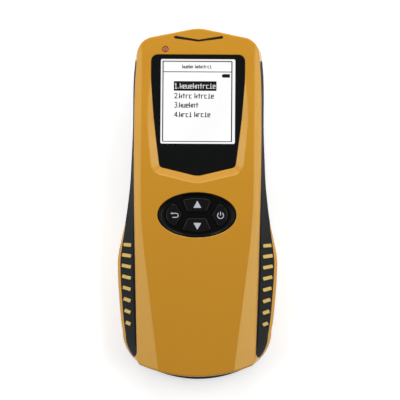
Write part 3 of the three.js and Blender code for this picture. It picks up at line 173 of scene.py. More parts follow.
FINISHES = {}


class Finish:
    """One material while it is being made; it is kept under the name of its slot."""

    def __init__(self, name):
        self.material = FINISHES[name] = bpy.data.materials.new(name)
        self.material.use_nodes = True
        self.tree = self.material.node_tree
        self.tree.nodes.clear()
        self.place = self.node("TexCoord")("Object")

    def node(self, kind, settings=None, sockets=None):
        made = self.tree.nodes.new("ShaderNode" + kind)
        for name, value in (settings or {}).items():
            setattr(made, name, value)
        for name, value in (sockets or {}).items():
            plug(made.inputs[name], value)
        return lambda name=0: Wire(made.outputs[name])

    def noise(self, scale, detail=2, place=None):
        sockets = {"Vector": place or self.place, "Scale": scale, "Detail": detail}
        return self.node("TexNoise", None, sockets)("Fac")

    def stretched(self, x, y, z):
        """Places multiplied along each axis, so that a pattern is drawn out."""
        sockets = {0: self.place, 1: (x, y, z)}
        return self.node("VectorMath", {"operation": "MULTIPLY"}, sockets)("Vector")

    def axes(self):
        """Places along X, Y and Z in millimetres."""
        parts = self.node("SeparateXYZ", None, {0: self.place})
        return [parts(axis) * (1 / MM) for axis in "XYZ"]

    def step(self, value, low, high, start=0, end=1):
        sockets = {0: value, 1: low, 2: high, 3: start, 4: end}
        return self.node("MapRange", {"interpolation_type": "SMOOTHSTEP"}, sockets)()

    def between(self, mask, first, second):
        """The first colour where the mask is 0, the second where it is 1."""
        sockets = {0: mask, 6: first, 7: second}
        return self.node("Mix", {"data_type": "RGBA"}, sockets)(2)

    def shaded(self, value, colour, spread):
        """A colour that a value between 0 and 1 makes a little darker or lighter."""
        return self.between(value, *tones(colour, spread))

    def bumped(self, height, depth, strength=1, under=None):
        """Relief with a real depth in millimetres."""
        sockets = {"Height": height, "Distance": depth * MM, "Strength": strength}
        if under:
            sockets["Normal"] = under
        return self.node("Bump", None, sockets)("Normal")

    def done(self, **sockets):
        names = {name.replace("_", " "): value for name, value in sockets.items()}
        shader = self.node("BsdfPrincipled", None, names)
        self.node("OutputMaterial", None, {"Surface": shader("BSDF")})
        return self.material


print("the finish class is ready")

# %% [markdown]
# ## Floor, lamps and background
#
# A studio picture of a product is lit from large soft boxes under a dim ceiling. One pair hangs where
# the side facets mirror it, and a lower pair and a head box stand where the window's bevel mirrors them,
# so these edges shine while the black parts stay black. A small box near the head lights its slope. The
# floor and a round wall are pale, and a little light of their own, for the camera and for mirrors,
# makes the background white and keeps the shadow. Far from the instrument the boxes reach less, so the
# card gets more light of its own there.

# %% Floor
def straight_ray(finish):
    """1 for rays that come from the camera, a mirror or glass."""
    rays = finish.node("LightPath")
    seen = rays("Is Camera Ray").highest(rays("Is Glossy Ray"))
    return seen.highest(rays("Is Transmission Ray"))


NEAR, FAR = 400, 1150  # between these distances in mm the card's own light grows
NEAR_GLOW, FAR_GLOW = (0.36, 0.36, 0.36, 1), (0.9, 0.9, 0.9, 1)
card = Finish("studio_card")
x, y, _ = card.axes()
far = card.step((x * x + y * y).power(0.5), NEAR, FAR)
matt = card.node("BsdfDiffuse", None, {
    "Color": card.shaded(card.noise(220, 3), paint(236, 236, 236), 0.004),
})
glow = card.node("Emission", None, {
    "Color": card.between(far, NEAR_GLOW, FAR_GLOW),
    "Strength": straight_ray(card),
})
card.node("OutputMaterial", None, {0: card.node("AddShader", None, {0: matt(), 1: glow()})()})
FLOOR_REACH, WALL_HEIGHT, WALL_SIDES = 5, 1.2, 48
turns = [2 * math.pi * i / WALL_SIDES for i in range(WALL_SIDES)]
foot = [(FLOOR_REACH * math.cos(t), FLOOR_REACH * math.sin(t), 0) for t in turns]
head = [(x, y, WALL_HEIGHT) for x, y, _ in foot]
sides = [(i, (i + 1) % WALL_SIDES) for i in range(WALL_SIDES)]
walls = [(j, i, i + WALL_SIDES, j + WALL_SIDES) for i, j in sides]
floor = placed("studio_floor", bpy.data.meshes.new("studio_floor"))
floor.data.from_pydata(foot + head, [], [tuple(range(WALL_SIDES)), *walls])
floor.data.materials.append(card.material)
floor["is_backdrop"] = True
print("floor of", 2 * FLOOR_REACH, "m with a wall of", WALL_HEIGHT, "m")

# %% Ceiling
sky = bpy.data.worlds.new("studio")
sky.use_nodes = True
CEILING = 0.16
ceiling_light = sky.node_tree.nodes["Background"]
ceiling_light.inputs["Color"].default_value = (1, 1, 1, 1)
ceiling_light.inputs["Strength"].default_value = CEILING
bpy.context.scene.world = sky
print("ceiling light", CEILING)

# %% Soft boxes
SOFT_BOXES = [  # place in metres, width, height, watts
    ("left_top_box", (-0.6, 0, 1.05), 0.8, 0.4, 3.4),
    ("right_top_box", (0.6, 0, 1.05), 0.8, 0.4, 4.8),
    ("left_low_box", (-1.1, 0.1, 0.36), 1.1, 0.6, 6),
    ("right_low_box", (1.1, 0.1, 0.36), 1.1, 0.6, 6),
    ("head_box", (0, 0.85, 0.4), 1.4, 0.66, 6.4),
    ("head_fill", (0, 0.32, 0.27), 0.5, 0.3, 0.52),
]
for name, place, width, height, watts in SOFT_BOXES:
    lamp = bpy.data.lights.new(name, "AREA")
    lamp.shape = "RECTANGLE"
    lamp.size, lamp.size_y, lamp.energy = width, height, watts
    box = placed(name, lamp)
    box.location = place
    box.rotation_euler = (-Vector(place)).to_track_quat("-Z", "Y").to_euler()
print("soft boxes:", len(SOFT_BOXES))

# %% [markdown]
# ## Making closed meshes
#
# Every new piece starts as a closed skin through a stack of loops, all with the same number of points.
# Holes and pockets are cut with the Boolean modifier, and the result is kept as the mesh. The Manifold
# solver is fast and exact on closed meshes. Sharp edges are then marked by their angle, and weighted
# normals keep the broad faces flat beside small rounded edges.

# %% Mesh helpers
def welded(shape):
    """The mesh after points in one place are joined."""
    bare = bmesh.new()
    bare.from_mesh(shape)
    bmesh.ops.remove_doubles(bare, verts=bare.verts, dist=WELD)
    bare.to_mesh(shape)
    bare.free()
    return shape


def mesh_piece(name, points, faces):
    """A new piece from points in millimetres."""
    shape = bpy.data.meshes.new(name)
    shape.from_pydata([tuple(v * MM for v in point) for point in points], [], faces)
    return placed(name, welded(shape))


def stack(name, loops, crowned=False):
    """A closed skin through loops that run anticlockwise, from the lowest to the highest."""
    count = len(loops[0])
    faces = []
    for level in range(len(loops) - 1):
        low, high = level * count, (level + 1) * count
        for i in range(count):
            j = (i + 1) % count
            faces.append((low + i, low + j, high + j, high + i))
    faces.append(tuple(reversed(range(count))))
    top = (len(loops) - 1) * count
    if not crowned:
        faces.append(tuple(range(top, top + count)))
    for i in range(count // 2 if crowned else 0):
        strip = [top + i, top + i + 1, top + count - i - 1, top + (count - i) % count]
        faces.append(tuple(dict.fromkeys(strip)))
    return mesh_piece(name, [point for loop in loops for point in loop], faces)


def combined(piece, operation, *tools):
    """The piece after a boolean with each tool; the tools are used up."""
    for tool in tools:
        step = piece.modifiers.new(operation, "BOOLEAN")
        step.operation, step.solver, step.object = operation, "MANIFOLD", tool
        ready = bpy.context.evaluated_depsgraph_get()
        shape = bpy.data.meshes.new_from_object(piece.evaluated_get(ready))
        piece.modifiers.clear()
        piece.data = shape
        bpy.data.objects.remove(tool)
    return piece


def smoothed(piece, angle=28):
    """Smooth shading with hard edges where the surface turns sharply."""
    shape = piece.data
    shape.polygons.foreach_set("use_smooth", [True] * len(shape.polygons))
    shape.set_sharp_from_angle(angle=math.radians(angle))
    even = piece.modifiers.new("even_normals", "WEIGHTED_NORMAL")
    even.keep_sharp = True
    return piece


print("mesh helpers are ready")

# %% Loops
def at_level(loop, height):
    """A plan loop raised to a level, or to a level worked out at each point."""
    level = height if callable(height) else lambda x, y: height
    return [(x, y, level(x, y)) for x, y in loop]


def circle(radius, x=0, y=0, count=48, stretch=1):
    turns = [2 * math.pi * i / count for i in range(count)]
    return [(x + radius * stretch * math.cos(t), y + radius * math.sin(t)) for t in turns]


def rectangle(x0, y0, x1, y1):
    return [(x0, y0), (x1, y0), (x1, y1), (x0, y1)]


def arc(x, y, radius, start, end, count):
    turns = np.linspace(start, end, count)
    return [(x + radius * math.cos(t), y + radius * math.sin(t)) for t in turns]


def rounded(corners, radii, steps=6):
    """An anticlockwise polygon whose corners are replaced by arcs."""
    loop = []
    for i, corner in enumerate(corners):
        radius = radii[i] if isinstance(radii, (list, tuple)) else radii
        here = Vector(corner)
        before = (Vector(corners[i - 1]) - here).normalized()
        after = (Vector(corners[(i + 1) % len(corners)]) - here).normalized()
        half = before.angle(after) / 2
        if radius == 0 or half > math.pi / 2 - 1e-4:
            loop.append(tuple(here))
            continue
        centre = here + (before + after).normalized() * (radius / math.sin(half))
        start = here + before * (radius / math.tan(half)) - centre
        end = here + after * (radius / math.tan(half)) - centre
        sweep = start.angle_signed(end)
        for k in range(steps + 1):
            arm = start.copy()
            arm.rotate(Matrix.Rotation(-sweep * k / steps, 2))
            loop.append(tuple(centre + arm))
    return loop


def moved_out(loop, distances):
    """An anticlockwise loop moved out along its own normals."""
    points = np.array([point[:2] for point in loop], float)
    along = np.roll(points, -1, 0) - np.roll(points, 1, 0)
    out = np.stack([along[:, 1], -along[:, 0]], 1) / np.linalg.norm(along, axis=1)[:, None]
    reach = np.broadcast_to(np.asarray(distances, float), len(points))
    return [tuple(point) for point in points + out * reach[:, None]]


def prism(name, loop, low, high):
    return stack(name, [at_level(loop, low), at_level(loop, high)])


def stepped(name, loop, steps):
    """A closed skin through one loop that is moved out and raised in steps."""
    return stack(name, [at_level(moved_out(loop, reach), level) for reach, level in steps])


def block(name, low, high):
    return prism(name, rectangle(*low[:2], *high[:2]), low[2], high[2])


print("a rounded square has", len(rounded(rectangle(0, 0, 9, 9), 2)), "points")

# %% [markdown]
# ## The plan of the instrument
#
# From the front the instrument is a long shield: a pointed head, rounded shoulders, sides that draw in
# towards the tail, and a flare on each side where the hand holds it. Widths are listed as shares at
# shares of the length, and a smooth curve runs through them. The same curves shape the cover, the
# housing, the grips and the base, so that all the seams follow each other.

# %% Width curves
COVER_HALF, SIDE_HALF, FLARE_HALF = 38.1, 39.3, 48.6
GRIP_STEP, BASE_STEP, BASE_TUCK = 2.1, 0.6, 3.6  # how far the grip's edge and the base draw in
COVER_WIDTHS = [
    (1, 0.955), (0.82, 0.97), (0.7, 0.99), (0.55, 0.999), (0.2, 0.998), (-0.21, 0.977), (-1, 0.918),
]
FLARE_SWELLS = [
    (1, -0.16), (0.86, -0.13), (0.7, -0.01), (0.43, 0.01), (0.26, 0.081), (0.12, 0.158),
    (-0.01, 0.311), (-0.095, 0.454), (-0.2, 0.745), (-0.3, 0.974), (-0.39, 0.99), (-0.51, 0.913),
    (-0.67, 0.745), (-0.81, 0.469), (-1, -0.02),
]
FLARE_GROWTH = [(1, 0), (-0.08, 0), (-0.14, 0.3), (-0.3, 1), (-1, 1)]


def through(shares, scale, along=HALF_LENGTH):
    """A smooth function of y through shares listed from the head to the tail."""
    points = [(y * along, value * scale) for y, value in shares]

    def slope(i):
        before, after = points[max(i - 1, 0)], points[min(i + 1, len(points) - 1)]
        return (after[1] - before[1]) / (after[0] - before[0])

    def value_at(y):
        if y >= points[0][0]:
            return points[0][1]
        if y <= points[-1][0]:
            return points[-1][1]
        i = next(k for k in range(len(points) - 1) if y > points[k + 1][0])
        span = points[i + 1][0] - points[i][0]
        t = (y - points[i][0]) / span
        ease = t * t * (3 - 2 * t)
        bend = slope(i) * t * (1 - t) ** 2 + slope(i + 1) * t * t * (t - 1)
        return points[i][1] * (1 - ease) + points[i + 1][1] * ease + span * bend
    return value_at


cover_width = through(COVER_WIDTHS, COVER_HALF)
flare_swell = through(FLARE_SWELLS, FLARE_HALF - SIDE_HALF)
flare_growth = through(FLARE_GROWTH, 1)


def flare_width(y):
    return SIDE_HALF + flare_swell(y)


def grip_edge_width(y):
    return flare_width(y) - GRIP_STEP * flare_growth(y)


def base_width(y):
    return flare_width(y) - BASE_STEP - BASE_TUCK * flare_growth(y)


stations = range(-HALF_LENGTH, HALF_LENGTH)
print("widest at the flare:", round(2 * max(flare_width(y) for y in stations), 1), "mm")

# %% The outline of a level
HEAD_SLOPE, NOSE_HALF, SHOULDER, LEAST_CORNER = 0.204, 4.8, 10.6, 0.2
STATIONS, SIDE_GAP = 90, 1.5  # points along a side, and the room left for its two corners


def half_outline(plan, inset=0):
    """The right half of an outline, from the tip of the head to the middle of the tail."""
    width_at, head_inset, tail_inset, tail_radius, tail_curve = plan

    def width(y):
        return width_at(y) - inset

    tip = HALF_LENGTH - head_inset - inset
    edge = tip + HEAD_SLOPE * NOSE_HALF / 2
    points = [(x, tip - HEAD_SLOPE * x * x / (2 * NOSE_HALF)) for x in np.linspace(0, NOSE_HALF, 6)]
    radius = SHOULDER - inset
    shoulder_x = width(HALF_LENGTH - SHOULDER) - radius
    shoulder_y = edge - HEAD_SLOPE * shoulder_x - radius * math.hypot(1, HEAD_SLOPE)
    start = math.atan2(1, HEAD_SLOPE)
    first_x = shoulder_x + radius * math.cos(start)
    points += [(x, edge - HEAD_SLOPE * x) for x in np.linspace(NOSE_HALF, first_x, 9)[1:-1]]
    points += arc(shoulder_x, shoulder_y, radius, start, 0, 16)
    corner, curve = max(tail_radius - inset, LEAST_CORNER), tail_curve - inset
    curve_y = -HALF_LENGTH + tail_inset + tail_curve
    corner_y = -HALF_LENGTH + tail_radius
    for _ in range(6):  # the corner has to touch both the side and the curve of the tail
        corner_x = width(corner_y) - corner
        corner_y = curve_y - math.sqrt((curve - corner) ** 2 - corner_x ** 2)
    side = np.linspace(shoulder_y - SIDE_GAP, corner_y + SIDE_GAP, STATIONS)
    points += [(width(y), y) for y in side]
    end = math.atan2(corner_y - curve_y, corner_x)
    points += arc(corner_x, corner_y, corner, 0, end, 18)
    points += arc(0, curve_y, curve, end, -math.pi / 2, 18)[1:]
    points[-1] = (0, points[-1][1])
    return points


def mirrored(half):
    """A whole loop, anticlockwise from the tip down the left side and back up the right."""
    return [(-point[0], *point[1:]) for point in half] + list(half[-2:0:-1])


def outline(plan, inset=0):
    return mirrored(half_outline(plan, inset))


# Each plan: width, inset of the head and of the tail, radius of the tail's corners and of its curve
COVER = (cover_width, 0, 1, 3.6, 86)
GROOVE = (lambda y: cover_width(y) + 0.1, 0.6, 1.3, 3.6, 86)
GRIP_EDGE = (grip_edge_width, 0.6, 1.3, 21.9, 86)
FLARE = (flare_width, 0.6, 1.3, 24, 86)
FOOT = (base_width, 0.6, 1.3, 20.4, 66)
BASE = (base_width, 1, 0, 20.4, 66)
print("points in an outline:", len(outline(COVER)))

# %% [markdown]
# ## Moulded plastic
#
# The shells are moulded in a tool whose walls were spark eroded, which leaves a fine even grain. Three
# layers of noise give it: a fine one for the grain, a broad one for the slow unevenness of a large
# moulding, and one between them for its gloss. Rubbed edges would be wrong here, because the photograph
# shows a new instrument.

# %% Plastic finishes
def moulded(name, colour, roughness, grain_size, grain_depth, spread=0.03, gloss_spread=0.05, **more):
    """Plastic from a spark eroded tool; sizes in millimetres."""
    finish = Finish(name)
    fine = finish.noise(1 / (grain_size * MM), 3)
    broad = finish.noise(26, 2)
    sheen = finish.noise(90, 3)
    return finish.done(
        Base_Color=finish.shaded(broad * 0.7 + fine * 0.3, colour, spread),
        Roughness=(sheen - 0.5) * 2 * gloss_spread + (fine - 0.5) * gloss_spread + roughness,
        Normal=finish.bumped(broad, 0.12, 0.25, finish.bumped(fine, grain_depth, 0.6)),
        **more,
    )


WARM = (1, 1, 0.58, 1)  # a tinted gloss keeps the yellow full where it mirrors the boxes
YELLOW, RIB_YELLOW = paint(181, 127, 34), paint(188, 160, 68)
yellow_shell = moulded("yellow_shell", YELLOW, 0.25, 0.5, 0.012, 0.03, 0.03, Specular_Tint=WARM)
rib_yellow = moulded("rib_yellow", RIB_YELLOW, 0.34, 0.5, 0.012, 0.03, 0.03)
black_shell = moulded("black_shell", paint(27, 27, 28), 0.5, 0.6, 0.04, 0.12)
moulded("black_trim", paint(14, 14, 15), 0.55, 0.4, 0.03, 0.1, Specular_IOR_Level=0.2)
keypad_black = moulded("keypad_black", paint(4, 4, 4), 0.3, 0.35, 0.01, 0.1, Specular_IOR_Level=0.12)
hub_plastic = moulded("hub", paint(30, 30, 32), 0.48, 0.5, 0.03, 0.1)
moulded("nylon", paint(217, 214, 204), 0.55, 0.7, 0.03, 0.03, Subsurface_Weight=0.05)
print("plastics:", list(FINISHES))

# %% [markdown]
# ## Rubber
#
# Grip rubber has a mild bloom: its colour is cloudy on a scale of millimetres, and its skin is matt with
# tiny pits. The tyres are the same material, a little dusty. The seals are smoother.

# %% Rubber finishes
def rubber(name, colour, roughness, pit_size, pit_depth, dust=0.0, gloss=0.3):
    finish = Finish(name)
    pits = finish.node(
        "TexVoronoi",
        {"feature": "SMOOTH_F1"},
        {"Vector": finish.place, "Scale": 1 / (pit_size * MM), "Smoothness": 0.6},
    )("Distance")
    bloom = finish.noise(140, 4)
    tone = finish.shaded(bloom, colour, 0.16)
    if dust:
        powder = finish.step(finish.noise(45, 3) * bloom, 0.22, 0.42) * dust
        tone = finish.between(powder, tone, paint(122, 118, 110))
    return finish.done(
        Base_Color=tone,
        Roughness=(bloom - 0.5) * 0.16 + roughness,
        Normal=finish.bumped(pits, pit_depth, 0.7),
        Specular_IOR_Level=gloss,
    )


grip_rubber = rubber("grip_rubber", paint(26, 27, 28), 0.8, 0.9, 0.03, 0, 0.15)
rubber("seal_rubber", paint(24, 24, 25), 0.62, 0.8, 0.02)
tyre_rubber = rubber("tyre", paint(24, 24, 25), 0.85, 0.7, 0.06, 0.25)
print("finishes with the rubbers:", len(FINISHES))

# %% [markdown]
# ## The front cover
#
# The cover is the moulding that takes the most skill. Its face is crowned along the length, falls off
# in a flat facet along each side, and turns down into the wall over a rounded rim of 1 mm. It is built
# as one skin: loops step in round the rim by the rules of a circle, then across the facet, and strips
# close the crown from side to side. The window, the keypad and the small holes are cut afterwards.

# %% Levels and curves of the face
COVER_BOTTOM, CROWN, COVER_WALL, RIM = 38.6, 48.2, 2.4, 1.0
FACET_SLOPE, FACET_HALF, FACET_TAIL_HALF = 0.24, 33.5, 22.0
FACE_FALLS = [
    (1, 1.02), (0.86, 0.9), (0.73, 0.85), (0.5, 0.5), (0.2, 0.08), (-0.08, 0), (-0.45, 0.22),
    (-0.8, 0.66), (-1, 0.96),
]
FACET_SHARES = [(1, 1), (0, 1), (-0.24, 0.95)]
FALL = 4.8
face_fall = through(FACE_FALLS, FALL)


def face_z(y):
    return CROWN - face_fall(y)


def facet_line(inset):
    """Half width of the flat face between the facets, as a function of y."""
    top = FACET_HALF - inset
    upper = through(FACET_SHARES, top)
    bend, bend_share = FACET_SHARES[-1][0] * HALF_LENGTH, FACET_SHARES[-1][1]

    def half(y):
        if y > bend:
            return upper(y)
        share = (bend - y) / (bend + HALF_LENGTH)
        return top * bend_share + (FACET_TAIL_HALF - inset - top * bend_share) * share
    return half


print("the face falls", round(CROWN - face_z(-HALF_LENGTH), 2), "mm to the tail")

# %% Skin of the cover
CREASE, CREASE_SHARE = 0.45, 0.45  # half width of the soft crease, and its limit on a narrow facet
LEAST_FACET, RIM_STEPS = 0.3, 7
NO_WIDTH = 1e-6  # keeps a division from failing on the middle line


def cover_skin(name, inset, bottom):
    outer = outline(COVER, inset)
    edge = moved_out(outer, -RIM)
    half_at = facet_line(inset)
    faces = []
    for x, y in edge:
        side = math.copysign(1, x) if x else 0
        inner = max(min(abs(x) - LEAST_FACET, half_at(y)), 0)
        fall = FACET_SLOPE * max(abs(x) - inner - LEAST_FACET, 0)
        soft = min(CREASE, CREASE_SHARE * max(abs(x) - inner, 0))
        tilt = math.atan2(fall, abs(x) - inner + NO_WIDTH)
        faces.append((side, inner, soft, face_z(y) - inset, fall, tilt))
    loops = [at_level(outer, bottom)]
    base_z = [face - fall - RIM / math.cos(tilt) for _, _, _, face, fall, tilt in faces]
    for share in np.linspace(0, 1, RIM_STEPS):
        turns = [(math.pi / 2 - tilt) * share for *_, tilt in faces]
        ring = moved_out(outer, [-RIM * (1 - math.cos(turn)) for turn in turns])
        loops.append([(x, y, z + RIM * math.sin(turn)) for (x, y), z, turn in zip(ring, base_z, turns)])
    loops.append([(x, y, face - fall) for (x, y), (_, _, _, face, fall, _) in zip(edge, faces)])
    crease = []
    for (x, y), (side, inner, soft, face, fall, _) in zip(edge, faces):
        share = soft / max(abs(x) - inner, NO_WIDTH)
        crease.append((side * (inner + soft), y, face - fall * share))
    loops.append(crease)
    loops.append([
        (side * max(inner - soft, 0), y, face)
        for (x, y), (side, inner, soft, face, _, _) in zip(edge, faces)
    ])
    return stack(name, loops, crowned=True)


front_cover = cover_skin("cover_shell", 0, COVER_BOTTOM)
print("cover skin:", len(front_cover.data.polygons), "faces")

# %% [markdown]
# The window is a tall shield: parallel at the head, drawn in towards the keypad, and closed by a V. Its
# corners are arcs, so the outline is a polygon with a radius at each corner. The bevel round it grows
# from nothing at the head to about 4.5 mm at the V. The cutter that makes the recess is a stack of loops
# that step out along the bevel, and its last two steps flatten, which leaves a soft lip.

# %% The window's outline
WINDOW_HEAD, WINDOW_POINT = 89.2, 15.95
window_corners = [
    (0, WINDOW_HEAD, 0), (-28.3, WINDOW_HEAD, 4.1), (-28.3, 74.9, 90), (-27.4, 61.7, 90),
    (-26.4, 50, 90), (-25.2, 39.5, 90), (-22.9, 21.5, 3), (0, WINDOW_POINT, 12),
]
right_side = [(-x, y, radius) for x, y, radius in window_corners[-2:0:-1]]
whole = window_corners + right_side
window_loop = rounded([point[:2] for point in whole], [point[2] for point in whole], 8)
bevel_width = through([(75, 0), (61.7, 2.25), (50, 3.5), (39.5, 4.1), (27.5, 4.5), (15.5, 4.4)], 1, 1)
bevels = np.array([bevel_width(y) for _, y in window_loop])
print("window outline:", len(window_loop), "points; bevel up to", max(bevels), "mm")

# %% Recess, ledge and cavity
LENS_SINK, LENS_THICK, SEAL_THICK, LEDGE_THICK, LEDGE_REACH = 0.35, 1.3, 0.4, 1.4, 2.2
LENS_TOP = face_z(WINDOW_HEAD) - LENS_SINK
LENS_BOTTOM = LENS_TOP - LENS_THICK
LEDGE_TOP = LENS_BOTTOM - SEAL_THICK
LEDGE_BOTTOM = LEDGE_TOP - LEDGE_THICK
LIP = 0.3
UNDER, OVER = COVER_BOTTOM - 5, CROWN + 6  # below and above the cover


def under_face(drop):
    """A level that follows the face."""
    return lambda x, y: face_z(y) - drop


recess = stepped("recess", window_loop, [
    (0, LEDGE_TOP), (0, LENS_TOP), (np.maximum(bevels - LIP, 0), under_face(0.36)),
    (bevels + 0.08, under_face(0.1)), (bevels + LIP + 0.1, under_face(-0.03)), (bevels + 1.4, OVER),
])
window_block = prism("window_block", moved_out(window_loop, bevels + 1.6), LEDGE_BOTTOM, OVER)
SCREWS = [(-31, 87.5), (31, 87.5), (-28.6, -92), (28.6, -92)]
POST, BORE, BORE_DEPTH, POST_FOOT = 3.6, 1.7, 2.3, 30  # radii, depth in the cover, lowest level


def at_screws(radius, low, high, count=20):
    """A round rod in the place of each screw."""
    return [prism("rod", circle(radius, x, y, count), low, high) for x, y in SCREWS]


posts = at_screws(POST, POST_FOOT, ABOVE, 24)
cavity = combined(cover_skin("cavity", COVER_WALL, 20), "DIFFERENCE", window_block, *posts)
ledge = prism("ledge", moved_out(window_loop, -LEDGE_REACH), UNDER, LENS_TOP)
combined(front_cover, "DIFFERENCE", cavity, recess, ledge)
print("cover with its window:", len(front_cover.data.polygons), "faces")

# %% [markdown]
# The keypad lies in an oval hole with a small rounded edge. The indicator lamp sits in a hole with a
# wider shallow ring, and the sounder speaks through a chevron slot that repeats the pointed head.

# %% Keypad hole, lamp hole, chevron slot and screw holes
PAD_X, PAD_Y, PAD_CENTRE = 23.7, 13.56, -7.35
LAMP, LAMP_HOLE = (-19.7, 92.3), 1.85
LAMP_RING = [(1.95, -0.5), (2.05, -0.15), (2.3, 0.15)]  # radius, and level over the face
CHEVRON_END, CHEVRON_MIDDLE, CHEVRON_HALF = 0.84, 0.6, 14.7
CHEVRON_X, CHEVRON_END_Y, CHEVRON_MIDDLE_Y = 0.2, 99.6, 97.55
oval = circle(PAD_Y, 0, PAD_CENTRE, 96, PAD_X / PAD_Y)
pad_hole = stepped("pad_hole", oval, [
    (0, UNDER), (0, under_face(0.4)), (0.1, under_face(0.14)), (0.42, under_face(-0.03)), (1.2, OVER),
])


def chevron(name, gap, low, high):
    end, middle = CHEVRON_END - gap, CHEVRON_MIDDLE - gap
    reach = CHEVRON_HALF - gap - end
    tip = arc(reach, CHEVRON_END_Y, end, -math.pi / 2, math.pi / 2, 9)
    other = [(-x, y) for x, y in reversed(tip)]
    loop = [(0, CHEVRON_MIDDLE_Y - middle), *tip, (0, CHEVRON_MIDDLE_Y + middle), *other]
    return prism(name, [(x + CHEVRON_X, y) for x, y in loop], low, high)


def round_lamp(name, profile):
    """A turned shape in the place of the lamp."""
    level = face_z(LAMP[1])
    return stack(name, [at_level(circle(radius, *LAMP, 32), level + up) for radius, up in profile])


combined(
    front_cover,
    "DIFFERENCE",
    pad_hole,
    chevron("slot", 0, UNDER, OVER),
    prism("lamp_hole", circle(LAMP_HOLE, *LAMP, 32), UNDER, CROWN),
    round_lamp("lamp_ring", LAMP_RING),
    *at_screws(BORE, UNDER, COVER_BOTTOM + BORE_DEPTH),
)


def dressed(piece, finish, body, slot, *nodes):
    """Give a new piece its finish and its body, and let it stand for CAD nodes."""
    piece.data.materials.clear()
    piece.data.materials.append(finish)
    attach(piece, body)
    if nodes:
        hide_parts(*nodes)
    print(piece.name, "has", len(piece.data.polygons), "faces")


dressed(smoothed(front_cover, 26), yellow_shell, "root", "yellow_shell", "front_cover")

# %% [markdown]
# ## The window lens
#
# The lens is a flat plate of acrylic, printed black behind except for a clear rectangle over the
# display. One material does both: its base is black, and its alpha falls inside a rounded rectangle, so
# the lit display shows through while the gloss of the plate stays. The coating keeps reflections low.

# %% Lens
CLEAR_X, CLEAR_Y, CLEAR_MIDDLE, CLEAR_CORNER = 22.35, 25.45, 61.05, 1
lens_finish = Finish("lens")
x, y, _ = lens_finish.axes()
reach_x = (x.size() - (CLEAR_X - CLEAR_CORNER)).highest(0)
reach_y = ((y - CLEAR_MIDDLE).size() - (CLEAR_Y - CLEAR_CORNER)).highest(0)
clear = (reach_x * reach_x + reach_y * reach_y) < CLEAR_CORNER ** 2
print_grain = lens_finish.noise(700, 2)
lens_finish.done(
    Base_Color=lens_finish.shaded(print_grain, paint(13, 14, 14), 0.2),
    Roughness=0.06 + lens_finish.noise(60, 2) * 0.03,
    Alpha=1 - clear * 0.97,
    Specular_IOR_Level=0.2,
)
LENS_GAP = 0.2
lens = stepped("lens_plate", moved_out(window_loop, -LENS_GAP), [
    (0, LENS_BOTTOM), (0, LENS_TOP - 0.2), (-0.06, LENS_TOP - 0.06), (-0.2, LENS_TOP),
])
dressed(smoothed(lens), lens_finish.material, "root", "lens", "window_lens")

# %% [markdown]
# ## The picture on the display
#
# The display is lit from behind and shows a numbered list with its first row chosen. The marks are thin
# tiles on the panel, so that they stay sharp from any distance. They are placed by the photograph's
# pixels. The words are signs that mean nothing, about as long and as dense as real ones.

# %% Panel
panel_finish = Finish("display")
x, _, _ = panel_finish.axes()
fall_off = panel_finish.step(x.size() / 24, 0, 1.2, 1, 0.96)
panel_finish.done(
    Base_Color=paint(44, 45, 46),
    Roughness=0.3 + panel_finish.noise(900, 1) * 0.05,
    Emission_Color=panel_finish.between(fall_off, paint(236, 238, 240), paint(255, 255, 255)),
    Emission_Strength=1,
)
PANEL_TOP, INK = LEDGE_BOTTOM - 0.5, 0.03
PIXEL, ZERO_ROW = 0.6, 203.7  # millimetres in a pixel, and the row where y is 0
HEAD_ROW, HEAD_MIDDLE, SHIFT = 28, 198.5, 1.9 / 349  # the middle line leans by this share of a row


def pixel(px, py):
    """The place on the instrument of a pixel of the photograph."""
    middle = HEAD_MIDDLE - (py - HEAD_ROW) * SHIFT
    return ((px - middle) * PIXEL, (ZERO_ROW - py) * PIXEL)


def tiles(name, boxes, low=PANEL_TOP):
    """Thin tiles from pairs of pixels."""
    points, faces = [], []
    for x0, y0, x1, y1 in boxes:
        (left, head), (right, tail) = pixel(x0, y0), pixel(x1, y1)
        start = len(points)
        loop = rectangle(left, tail, right, head)
        points += at_level(loop, low) + at_level(loop, low + INK)
        for i in range(4):
            j = (i + 1) % 4
            faces.append((start + i, start + j, start + 4 + j, start + 4 + i))
        faces += [(start + 3, start + 2, start + 1, start), (start + 4, start + 5, start + 6, start + 7)]
    return mesh_piece(name, points, faces)


print("the display's surface is at", round(PANEL_TOP, 2), "mm")

# %% Marks on the display
def ink(name, colour, own, glow):
    """Ink with a colour of its own and a colour that is lit from behind."""
    finish = Finish(name)
    speck = finish.noise(1500, 1)
    return finish.done(
        Base_Color=finish.shaded(speck, own, 0.05),
        Roughness=0.5 + speck * 0.1,
        Emission_Color=finish.shaded(speck, colour, 0.03),
        Emission_Strength=glow,
        Specular_IOR_Level=0.1,
    )


ink_black = ink("display_black", paint(8, 8, 9), paint(12, 12, 12), 1)
ink_mid = ink("display_mid", paint(30, 30, 32), paint(12, 12, 12), 1)
ink_white = ink("display_white", paint(250, 250, 250), paint(12, 12, 12), 1)


def mark(piece, finish=ink_black):
    dressed(piece, finish, "root", "display")


mark(tiles("display_frame_lines", [
    (162.6, 61, 232.2, 61.95), (163.2, 71.6, 231.5, 72.4), (162.6, 141.4, 232.2, 142.2),
    (162.6, 61.95, 163.2, 141.4), (231.5, 61.95, 232.2, 141.4),
]))
mark(tiles("display_chosen_row", [(173.9, 81.4, 216.6, 91)]))
print("frame and chosen row")

# %% Numbers as pen strokes
def band(points, width):
    """A loop round an open line, like a pen stroke."""
    line = np.array(points, float)
    along = np.gradient(line, axis=0)
    out = np.stack([along[:, 1], -along[:, 0]], 1) / np.linalg.norm(along, axis=1)[:, None]
    side = out * width / 2
    return [tuple(p) for p in line + side] + [tuple(p) for p in (line - side)[::-1]]


